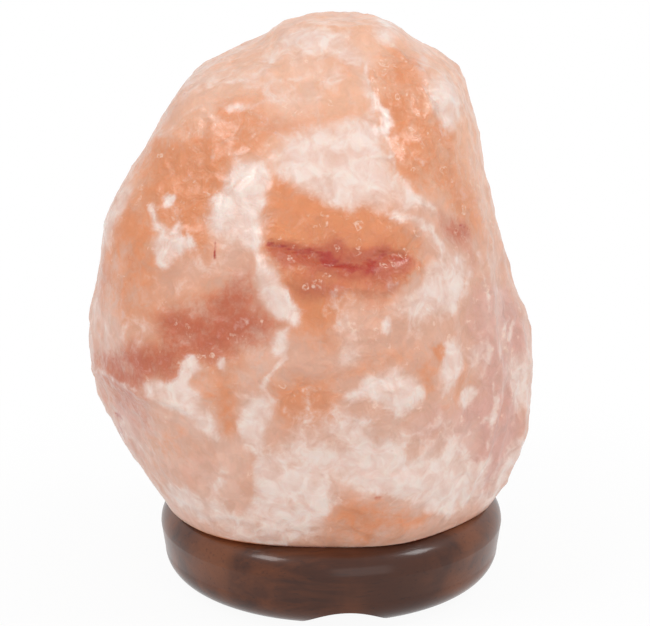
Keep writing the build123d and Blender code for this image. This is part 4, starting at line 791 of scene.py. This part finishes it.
def rock_salt_material(look):
    """Rock salt, halite, broken and rinsed: a waxy, faintly see-through pink stone with
    opaque white clouds, orange and red iron stain, and short glints off its crystals,
    painted into its colour as painted highlights."""
    material, tree, place = start_material("rock_salt_rinsed")
    wide, mid, fine, veil = (noise(tree, place, *row) for row in SALT_NOISES)
    ragged = maths(tree, "MULTIPLY_ADD", mid, 0.7, wide)
    ragged = maths(tree, "MULTIPLY_ADD", fine, 0.4, ragged)
    ragged = maths(tree, "SUBTRACT", ragged, 1.05)
    masks = {}
    for name, field, edge, low, high in SALT_MASKS:
        amount = add(tree, "ShaderNodeAttribute", output="Fac", attribute_name=field)
        uneven = maths(tree, "MULTIPLY_ADD", ragged, edge, amount)
        masks[name] = spread(tree, uneven, low, high, curve="SMOOTHSTEP")
    pale = spread(tree, veil, 0.45, 0.66, 0, 0.45, "SMOOTHSTEP")
    # the halo is where a cloud lies under the surface, the milk where it comes out
    thin = maths(tree, "MAXIMUM", maths(tree, "MULTIPLY", masks["halo"], 0.6), pale)
    colour = look.salt
    for share, tint in ((masks["apricot"], look.apricot), (masks["mauve"], look.mauve),
                        (thin, look.veil), (masks["orange"], look.orange),
                        (masks["brick"], look.brick)):
        colour = mix(tree, share, colour, tint)
    colour = mix(tree, 1.0, colour, spread(tree, mid, 0.35, 0.65, 0.93, 1.06), "MULTIPLY")
    cream = mix(tree, spread(tree, mid, 0.36, 0.62), look.haze, look.milk)
    colour = mix(tree, masks["milk"], colour, cream)
    colour = mix(tree, masks["crack"], colour, look.crack)
    # painted highlights: pale glints up to 2 mm across, where crystal edges catch the light:
    #     short arcs round the middles of bent cells, in some of the cells, broken off by noise
    amount = add(tree, "ShaderNodeAttribute", output="Fac", attribute_name="glint")
    bent = noise(tree, place, BEND_SIZE, 1.0, output="Color")
    bent = add(tree, "ShaderNodeVectorMath", {0: bent, 1: (PAINTED_GLINT_BEND * MM,) * 3, 2: place},
               operation="MULTIPLY_ADD")
    cells = add(tree, "ShaderNodeTexVoronoi", {"Vector": bent, "Scale": 1 / (PAINTED_GLINT_CELL * MM)},
                "Distance").node.outputs
    away = maths(tree, "SUBTRACT", cells["Distance"], PAINTED_GLINT_RADIUS)
    arc = spread(tree, maths(tree, "ABSOLUTE", away), *PAINTED_GLINT_EDGE, curve="SMOOTHSTEP")
    present = add(tree, "ShaderNodeSeparateColor", {"Color": cells["Color"]})
    present = spread(tree, maths(tree, "MULTIPLY_ADD", amount, 0.32, present), 0.88, 1.05)
    arc = maths(tree, "MULTIPLY", arc, spread(tree, fine, 0.45, 0.62))
    arc = maths(tree, "MULTIPLY", arc, present)
    colour = mix(tree, maths(tree, "MULTIPLY", arc, 0.62), colour, look.glint)
    cleave = add(tree, "ShaderNodeTexVoronoi", {
        "Vector": place, "Scale": 1 / (CLEAVAGE_CELL * MM), "Smoothness": 0.35}, "Distance",
        feature="SMOOTH_F1")
    height = maths(tree, "MULTIPLY_ADD", cleave, 0.6, mid)
    height = maths(tree, "MULTIPLY_ADD", fine, 0.3, height)
    # the bump is coarser where the painted glints lie
    height = maths(tree, "MULTIPLY", height, spread(tree, amount, to_low=0.5, to_high=1.2))
    end_surface(tree, colour, spread(tree, fine, 0.3, 0.7, 0.3, 0.5),
                raised(tree, height, 0.75, 1.1), {
        "IOR": 1.544, "Subsurface Weight": 0.2, "Subsurface Radius": (1.0, 0.45, 0.3),
        "Subsurface Scale": 3 * MM, "Coat Weight": 0.35, "Coat Roughness": 0.2})
    return material


def stained_wood_material(look):
    """Turned hardwood, wiped with dark brown stain and given a satin varnish: the grain runs
    level, its pores take more stain, and the varnish gives a soft, slightly uneven shine. A
    band a little right of the front is darkened as painted shade."""
    material, tree, place = start_material("hardwood_stained_varnished")
    along = add(tree, "ShaderNodeMapping", {"Vector": place, "Rotation": (0.0, 0.04, 0.12),
                                            "Scale": (0.09, 1.0, 1.0)})
    growth = noise(tree, along, 5, 4.0, 0.55, 0.8)
    pores = noise(tree, along, 0.7, 3.0, 0.6)
    stain = noise(tree, place, 26, 3.0, twist=0.5)
    # painted shade: darker in a band a little right of the front, with no lighter stain there
    across = add(tree, "ShaderNodeSeparateXYZ", {"Vector": place}, "X")
    across = maths(tree, "ABSOLUTE", maths(tree, "SUBTRACT", across, SHADE_BAND_MIDDLE * MM))
    thin = spread(tree, across, SHADE_BAND_CORE * MM, SHADE_BAND_REACH * MM, 0.1, curve="SMOOTHSTEP")
    rings = maths(tree, "MULTIPLY", spread(tree, growth, 0.35, 0.68), thin)
    colour = mix(tree, rings, look.wood_growth_and_shade, look.wood)
    patch = spread(tree, stain, 0.42, 0.7, 0, 0.7, "SMOOTHSTEP")
    colour = mix(tree, maths(tree, "MULTIPLY", patch, thin), colour, look.wood_light)
    colour = mix(tree, spread(tree, pores, 0.58, 0.7, 0, 0.5), colour, look.wood_pore)
    end_surface(tree, colour, spread(tree, growth, to_low=0.34, to_high=0.5),
                raised(tree, pores, 0.12, 0.25), {
        "IOR": 1.45, "Specular IOR Level": 0.15, "Coat Weight": 0.6, "Coat Roughness": 0.16,
        "Coat IOR": 1.4})
    return material


def felt_material(look):
    """Pressed wool felt, dyed black: dull, with matted fibres lying every way and a faint
    sheen where they stand up."""
    material, tree, place = start_material("wool_felt_pressed")
    fibres = noise(tree, place, 0.8, 5.0, 0.75, 2.5)
    colour = mix(tree, spread(tree, fibres, 0.35, 0.7), look.felt, look.felt_fibre)
    end_surface(tree, colour, 0.95, raised(tree, fibres, 0.8, 0.3), {
        "IOR": 1.5, "Sheen Weight": 0.4, "Sheen Roughness": 0.6})
    return material


def worked_material(name, colour, worn, metallic, roughness, grain, relief, stretch=(1, 1, 1)):
    """A finish with one colour that drifts a little to a worn one, over marks of the given
    grain and relief, both in mm. stretch draws the marks out along an axis."""
    material, tree, place = start_material(name)
    marks = add(tree, "ShaderNodeMapping", {"Vector": place, "Scale": stretch})
    grit = noise(tree, marks, grain, 4.0, 0.65)
    tone = spread(tree, noise(tree, place, 6, 4.0), 0.4, 0.75)
    rough = spread(tree, grit, to_low=roughness * 0.8, to_high=roughness * 1.25)
    end_surface(tree, mix(tree, tone, linear(colour), linear(worn)), rough,
                raised(tree, grit, 0.5, relief), {"Metallic": metallic})
    return material


def clear_glass_material(look):
    """Blown soda-lime glass: clear, faintly green at its edges, with slow waves."""
    material, tree, place = start_material("soda_glass_blown")
    waves = noise(tree, place, 14, 1.0)
    end_surface(tree, opaque(look.glass), 0.02, raised(tree, waves, 0.2, 0.2), {
        "IOR": 1.52, "Transmission Weight": 1.0})
    return material


def dress(material, *names):
    """Gives a CAD node the material in all its slots."""
    for name in names:
        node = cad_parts[name]
        if not node.material_slots:
            node.data.materials.append(material)
        for slot in node.material_slots:
            slot.material = material


# ---------------------------------------------------------------- settings
def number_property(name, description, default, low, high, unit="NONE"):
    return FloatProperty(name=name, description=description, default=default, min=low, max=high,
                         unit=unit)


def colour_property(name, description, hex_colour):
    return FloatVectorProperty(name=name, description=description, subtype="COLOR", size=3,
                               min=0, max=1, default=linear(hex_colour))


class SALTLAMP_PG_shape(bpy.types.PropertyGroup):
    """Sizes of the pieces made here."""
    rows: IntProperty(name="Crystal rows", description="Rows of the crystal's skin, foot to peak",
                      default=214, min=60, max=230)
    scoop_spacing: number_property("Scoop spacing", "Width of a chipped scoop", 0.017, 0.008,
                                   0.04, "LENGTH")
    scoop_depth: number_property("Scoop depth", "Height of the ridges between scoops", 0.0006,
                                 0, 0.003, "LENGTH")
    felt_inner: number_property("Felt inside radius", "Inside radius of the felt", 0.0315,
                                0.03, 0.04, "LENGTH")
    felt_gap: number_property("Felt gap", "Gap in the felt at the channel", 0.032, 0.029, 0.05,
                              "LENGTH")


class SALTLAMP_PG_colours(bpy.types.PropertyGroup):
    """Colours of the finishes."""
    salt: colour_property("Salt", "Plain pink salt", "#E2AB91")
    apricot: colour_property("Salt apricot", "Paler, warmer salt", "#EFB696")
    veil: colour_property("Salt veil", "Thin milky veil in the salt", "#EDC9B8")
    orange: colour_property("Salt orange", "Iron-stained salt", "#E08C5A")
    brick: colour_property("Salt brick", "Deep iron stain", "#BE5832")
    mauve: colour_property("Salt mauve", "Greyish pink salt", "#DBA597")
    milk: colour_property("Salt milk", "Opaque white clouds", "#F6E1D6")
    haze: colour_property("Salt haze", "Pinker parts of the clouds", "#EDCABC")
    crack: colour_property("Salt crack", "Red clay in the cracks", "#AD2706")
    # painted highlight: the pale colour painted into the salt's glints
    glint: colour_property("Salt glint", "Crystal faces that catch the light", "#FBD9C4")
    wood: colour_property("Wood", "Stained wood", "#66371F")
    # also the colour of the painted shade band on the wood
    wood_growth_and_shade: colour_property("Wood growth lines", "Late wood between the rings", "#432316")
    wood_light: colour_property("Wood light patches", "Stain that was wiped thinner", "#824B2D")
    wood_pore: colour_property("Wood pores", "Pores filled with stain", "#2E1A15")
    felt: colour_property("Felt", "Pressed felt", "#151414")
    felt_fibre: colour_property("Felt fibres", "Loose fibres on the felt", "#34302E")
    glass: colour_property("Glass", "Bulb's glass", "#F4FAF8")


class SALTLAMP_PG_stage(bpy.types.PropertyGroup):
    """Camera, lamps and floor."""
    distance: number_property("Camera distance", "From the lamp's middle", 0.85, 0.3, 3,
                              "LENGTH")
    lens: number_property("Lens", "Focal length for a 36 mm sensor, in mm", 148.7, 20, 300)
    floor_size: number_property("Floor", "Width of the white floor", 24.0, 2, 50, "LENGTH")
    key_power: number_property("Left lamp", "Large soft lamp to the left, in W", 4.5, 0, 100)
    fill_power: number_property("Right lamp", "Large soft lamp to the right, in W", 4.2, 0, 100)
    front_power: number_property("Front lamp", "Low, wide lamp in front, in W", 2.6, 0, 100)
    sky: number_property("Sky", "Even light from all round", 0.55, 0, 2)


# Name, place and width in metres, and the setting that holds the power
LAMPS = (("lamp_left", (-0.79, -0.46, 1.1), 0.35, "key_power"),
         ("lamp_right", (0.88, -0.24, 1.1), 0.32, "fill_power"),
         ("lamp_front", (0.35, -1.3, 0.35), 0.9, "front_power"))
CAMERA_SHIFT = (-0.0097, -0.0103)       # shares of the picture's width
SENSOR = 36.0                           # mm
# Where the paper turns to plain white, in metres, and its share of plain white at the lamp
FLOOR_FADE, FLOOR_GLOW = (0.06, 0.22), 0.94


# ---------------------------------------------------------------- operators
class SALTLAMP_OT_stage(bpy.types.Operator):
    """Make the white floor, the soft lamps, the even sky and the camera"""
    bl_idname = "saltlamp.stage"
    bl_label = "Stage"

    def execute(self, context):
        settings = context.scene.saltlamp_stage
        self.floor(settings)
        self.sky(context, settings)
        for name, place, size, power in LAMPS:
            self.lamp(name, place, size, getattr(settings, power))
        turn, rise = math.radians(CRYSTAL_TURN - 90), math.radians(VIEW_RISE)
        eye = Vector((math.cos(turn) * math.cos(rise), math.sin(turn) * math.cos(rise),
                      math.sin(rise)))
        data = bpy.data.cameras.new("front_camera")
        data.lens, data.sensor_width = settings.lens, SENSOR
        data.shift_x, data.shift_y = CAMERA_SHIFT
        camera = bpy.data.objects.new("front_camera", data)
        camera.location = Vector((0, 0, LAMP_MIDDLE * MM)) + eye * settings.distance
        camera.rotation_euler = (-eye).to_track_quat("-Z", "Y").to_euler()
        context.collection.objects.link(camera)
        context.scene.camera = camera
        context.scene.view_settings.view_transform = "Standard"
        return {"FINISHED"}

    def lamp(self, name, place, size, power):
        data = bpy.data.lights.new(name, "AREA")
        data.energy, data.size = power, size
        lamp = bpy.data.objects.new(name, data)
        lamp.location = place
        aim = Vector((0, 0, LAMP_MIDDLE * MM)) - Vector(place)
        lamp.rotation_euler = aim.to_track_quat("-Z", "Y").to_euler()
        bpy.context.collection.objects.link(lamp)

    def seen(self, tree):
        """1 for what the eye sees straight, in a shine or through glass."""
        rays = tree.nodes.new("ShaderNodeLightPath").outputs
        both = maths(tree, "MAXIMUM", rays["Is Camera Ray"], rays["Is Glossy Ray"])
        return maths(tree, "MAXIMUM", both, rays["Is Transmission Ray"])

    def sky(self, context, settings):
        world = bpy.data.worlds.new("even_sky")
        world.use_nodes = True
        tree = world.node_tree
        tree.nodes.clear()
        strength = spread(tree, self.seen(tree), to_low=settings.sky)
        add(tree, "ShaderNodeOutputWorld", {"Surface": add(tree, "ShaderNodeBackground", {
            "Color": (1.0, 1.0, 1.0, 1.0), "Strength": strength})})
        context.scene.world = world

    def floor(self, settings):
        """White paper that fades to plain white away from the lamp, and isn't seen from below."""
        half = settings.floor_size / 2
        mesh = bpy.data.meshes.new("floor")
        mesh.from_pydata([(-half, -half, 0), (half, -half, 0), (half, half, 0), (-half, half, 0)],
                         [], [(0, 1, 2, 3)])
        material, tree, place = start_material("white_paper")
        far = add(tree, "ShaderNodeVectorMath", {0: place}, output="Value", operation="LENGTH")
        glow = spread(tree, far, *FLOOR_FADE, FLOOR_GLOW, 1.0, "SMOOTHSTEP")
        paper = add(tree, "ShaderNodeBsdfDiffuse", {"Color": (0.9, 0.9, 0.9, 1.0)})
        white = add(tree, "ShaderNodeEmission", {"Strength": 1.0})
        lit = add(tree, "ShaderNodeMixShader", {0: glow, 1: paper, 2: white})
        lit = add(tree, "ShaderNodeMixShader", {0: self.seen(tree), 1: paper, 2: lit})
        side = add(tree, "ShaderNodeNewGeometry", output="Backfacing")
        clear = add(tree, "ShaderNodeBsdfTransparent")
        end_material(tree, add(tree, "ShaderNodeMixShader", {0: side, 1: lit, 2: clear}))
        mesh.materials.append(material)
        floor = bpy.data.objects.new("floor", mesh)
        bpy.context.collection.objects.link(floor)


class SALTLAMP_OT_crystal(bpy.types.Operator):
    """Make the rough salt crystal"""
    bl_idname = "saltlamp.crystal"
    bl_label = "Salt crystal"

    def execute(self, context):
        scene = context.scene
        salt_crystal(scene.saltlamp_shape, rock_salt_material(scene.saltlamp_colours))
        return {"FINISHED"}


class SALTLAMP_OT_base(bpy.types.Operator):
    """Stain and varnish the turned wooden base"""
    bl_idname = "saltlamp.base"
    bl_label = "Wooden base"

    def execute(self, context):
        dress(stained_wood_material(context.scene.saltlamp_colours), "wooden_base")
        return {"FINISHED"}


class SALTLAMP_OT_felt(bpy.types.Operator):
    """Make the felt ring under the base"""
    bl_idname = "saltlamp.felt"
    bl_label = "Felt ring"

    def execute(self, context):
        scene = context.scene
        felt_ring(scene.saltlamp_shape, felt_material(scene.saltlamp_colours))
        return {"FINISHED"}


class SALTLAMP_OT_fixings(bpy.types.Operator):
    """Finish the screws and the steel plate under the base"""
    bl_idname = "saltlamp.fixings"
    bl_label = "Plate and screws"

    def execute(self, context):
        # zinc-plated steel, stamped or headed: bluish grey with a soft spangle
        zinc = worked_material("steel_zinc_plated", "#C9CBC8", "#A9ABAA", 1.0, 0.34, 0.9, 0.02)
        dress(zinc, "base_screws", "holder_plate", "cap_screws", "terminal_screws")
        return {"FINISHED"}


class SALTLAMP_OT_lampholder(bpy.types.Operator):
    """Finish the lampholder, its contacts and the cord's gland"""
    bl_idname = "saltlamp.lampholder"
    bl_label = "Lampholder"

    def execute(self, context):
        # moulded phenolic: black, semi-gloss, with a faint flow pattern
        dress(worked_material("phenolic_moulded", "#17171A", "#26262A", 0.0, 0.3, 2.2, 0.02),
              "lampholder_shell", "shell_ring_nut", "lampholder_cap")
        # moulded nylon: black, softer shine, finely pebbled
        dress(worked_material("nylon_moulded", "#1D1D1D", "#2A2A2A", 0.0, 0.5, 0.6, 0.05),
              "cord_gland")
        # pressed and fired steatite: off-white, chalky
        dress(worked_material("steatite_fired", "#E9E3D3", "#DCD4C1", 0.0, 0.65, 0.4, 0.05),
              "contact_carrier")
        # rolled brass strip: golden, a little tarnished, with fine rolling lines
        dress(worked_material("brass_rolled", "#D9B566", "#B68F45", 1.0, 0.28, 0.5, 0.01,
                              (1, 1, 8)),
              "screw_shell", "centre_contact", "side_contact", "terminal_blocks")
        return {"FINISHED"}


class SALTLAMP_OT_clips(bpy.types.Operator):
    """Finish the spring clips, their pins and springs"""
    bl_idname = "saltlamp.clips"
    bl_label = "Spring clips"

    def execute(self, context):
        # rolled spring steel: bright grey with lines along the strip
        dress(worked_material("spring_steel_rolled", "#B5B6B8", "#8E8F92", 1.0, 0.26, 0.4, 0.01,
                              (6, 6, 0.3)),
              "clip_left", "clip_right", "clip_pins", "clip_springs")
        return {"FINISHED"}


class SALTLAMP_OT_bulb(bpy.types.Operator):
    """Finish the bulb"""
    bl_idname = "saltlamp.bulb"
    bl_label = "Bulb"

    def execute(self, context):
        glass = clear_glass_material(context.scene.saltlamp_colours)
        dress(glass, "bulb_glass", "bulb_stem")
        # drawn nickel-plated brass cap: warm silver, slightly scuffed by the holder's thread
        dress(worked_material("brass_nickel_plated", "#D8D2C4", "#B9B3A3", 1.0, 0.25, 0.5, 0.01,
                              (1, 1, 6)), "bulb_cap")
        # pressed black glass insulator: glossy
        dress(worked_material("vitrite_pressed", "#101014", "#1C1C22", 0.0, 0.15, 1.5, 0.03),
              "bulb_insulator")
        # tin solder: dull silver, rippled as it set
        dress(worked_material("tin_solder_set", "#B9BBBE", "#94969A", 1.0, 0.4, 1.2, 0.1),
              "bulb_contact")
        # drawn nickel-iron wire
        dress(worked_material("nickel_iron_drawn", "#A9A49C", "#8A857E", 1.0, 0.3, 0.3, 0.01),
              "lead_wires")
        # coiled tungsten wire: dark grey
        dress(worked_material("tungsten_coiled", "#5A5B5E", "#3F4043", 1.0, 0.4, 0.2, 0.01),
              "filament")
        return {"FINISHED"}


class SALTLAMP_PT_pieces(bpy.types.Panel):
    """Lists the lamp's pieces, then their sizes and colours"""
    bl_idname = "SALTLAMP_PT_pieces"
    bl_label = "Salt crystal lamp"
    bl_space_type = "VIEW_3D"
    bl_region_type = "UI"
    bl_category = "Salt lamp"

    def draw(self, context):
        for operator in OPERATORS:
            self.layout.operator(operator.bl_idname)
        for group in (context.scene.saltlamp_shape, context.scene.saltlamp_colours,
                      context.scene.saltlamp_stage):
            box = self.layout.box()
            for name in group.__annotations__:
                box.prop(group, name)


OPERATORS = (SALTLAMP_OT_stage, SALTLAMP_OT_crystal, SALTLAMP_OT_base, SALTLAMP_OT_felt,
             SALTLAMP_OT_fixings, SALTLAMP_OT_lampholder, SALTLAMP_OT_clips, SALTLAMP_OT_bulb)
GROUPS = {"saltlamp_shape": SALTLAMP_PG_shape, "saltlamp_colours": SALTLAMP_PG_colours,
          "saltlamp_stage": SALTLAMP_PG_stage}


def register():
    for group in GROUPS.values():
        bpy.utils.register_class(group)
    for name, group in GROUPS.items():
        setattr(bpy.types.Scene, name, PointerProperty(type=group))
    for operator in OPERATORS:
        bpy.utils.register_class(operator)
    bpy.utils.register_class(SALTLAMP_PT_pieces)


def unregister():
    bpy.utils.unregister_class(SALTLAMP_PT_pieces)
    for operator in reversed(OPERATORS):
        bpy.utils.unregister_class(operator)
    for name, group in GROUPS.items():
        delattr(bpy.types.Scene, name)
        bpy.utils.unregister_class(group)


def main():
    register()
    bpy.ops.saltlamp.stage()
    bpy.ops.saltlamp.crystal()
    bpy.ops.saltlamp.base()
    bpy.ops.saltlamp.felt()
    bpy.ops.saltlamp.fixings()
    bpy.ops.saltlamp.lampholder()
    bpy.ops.saltlamp.clips()
    bpy.ops.saltlamp.bulb()


if __name__ == "__main__":
    main()
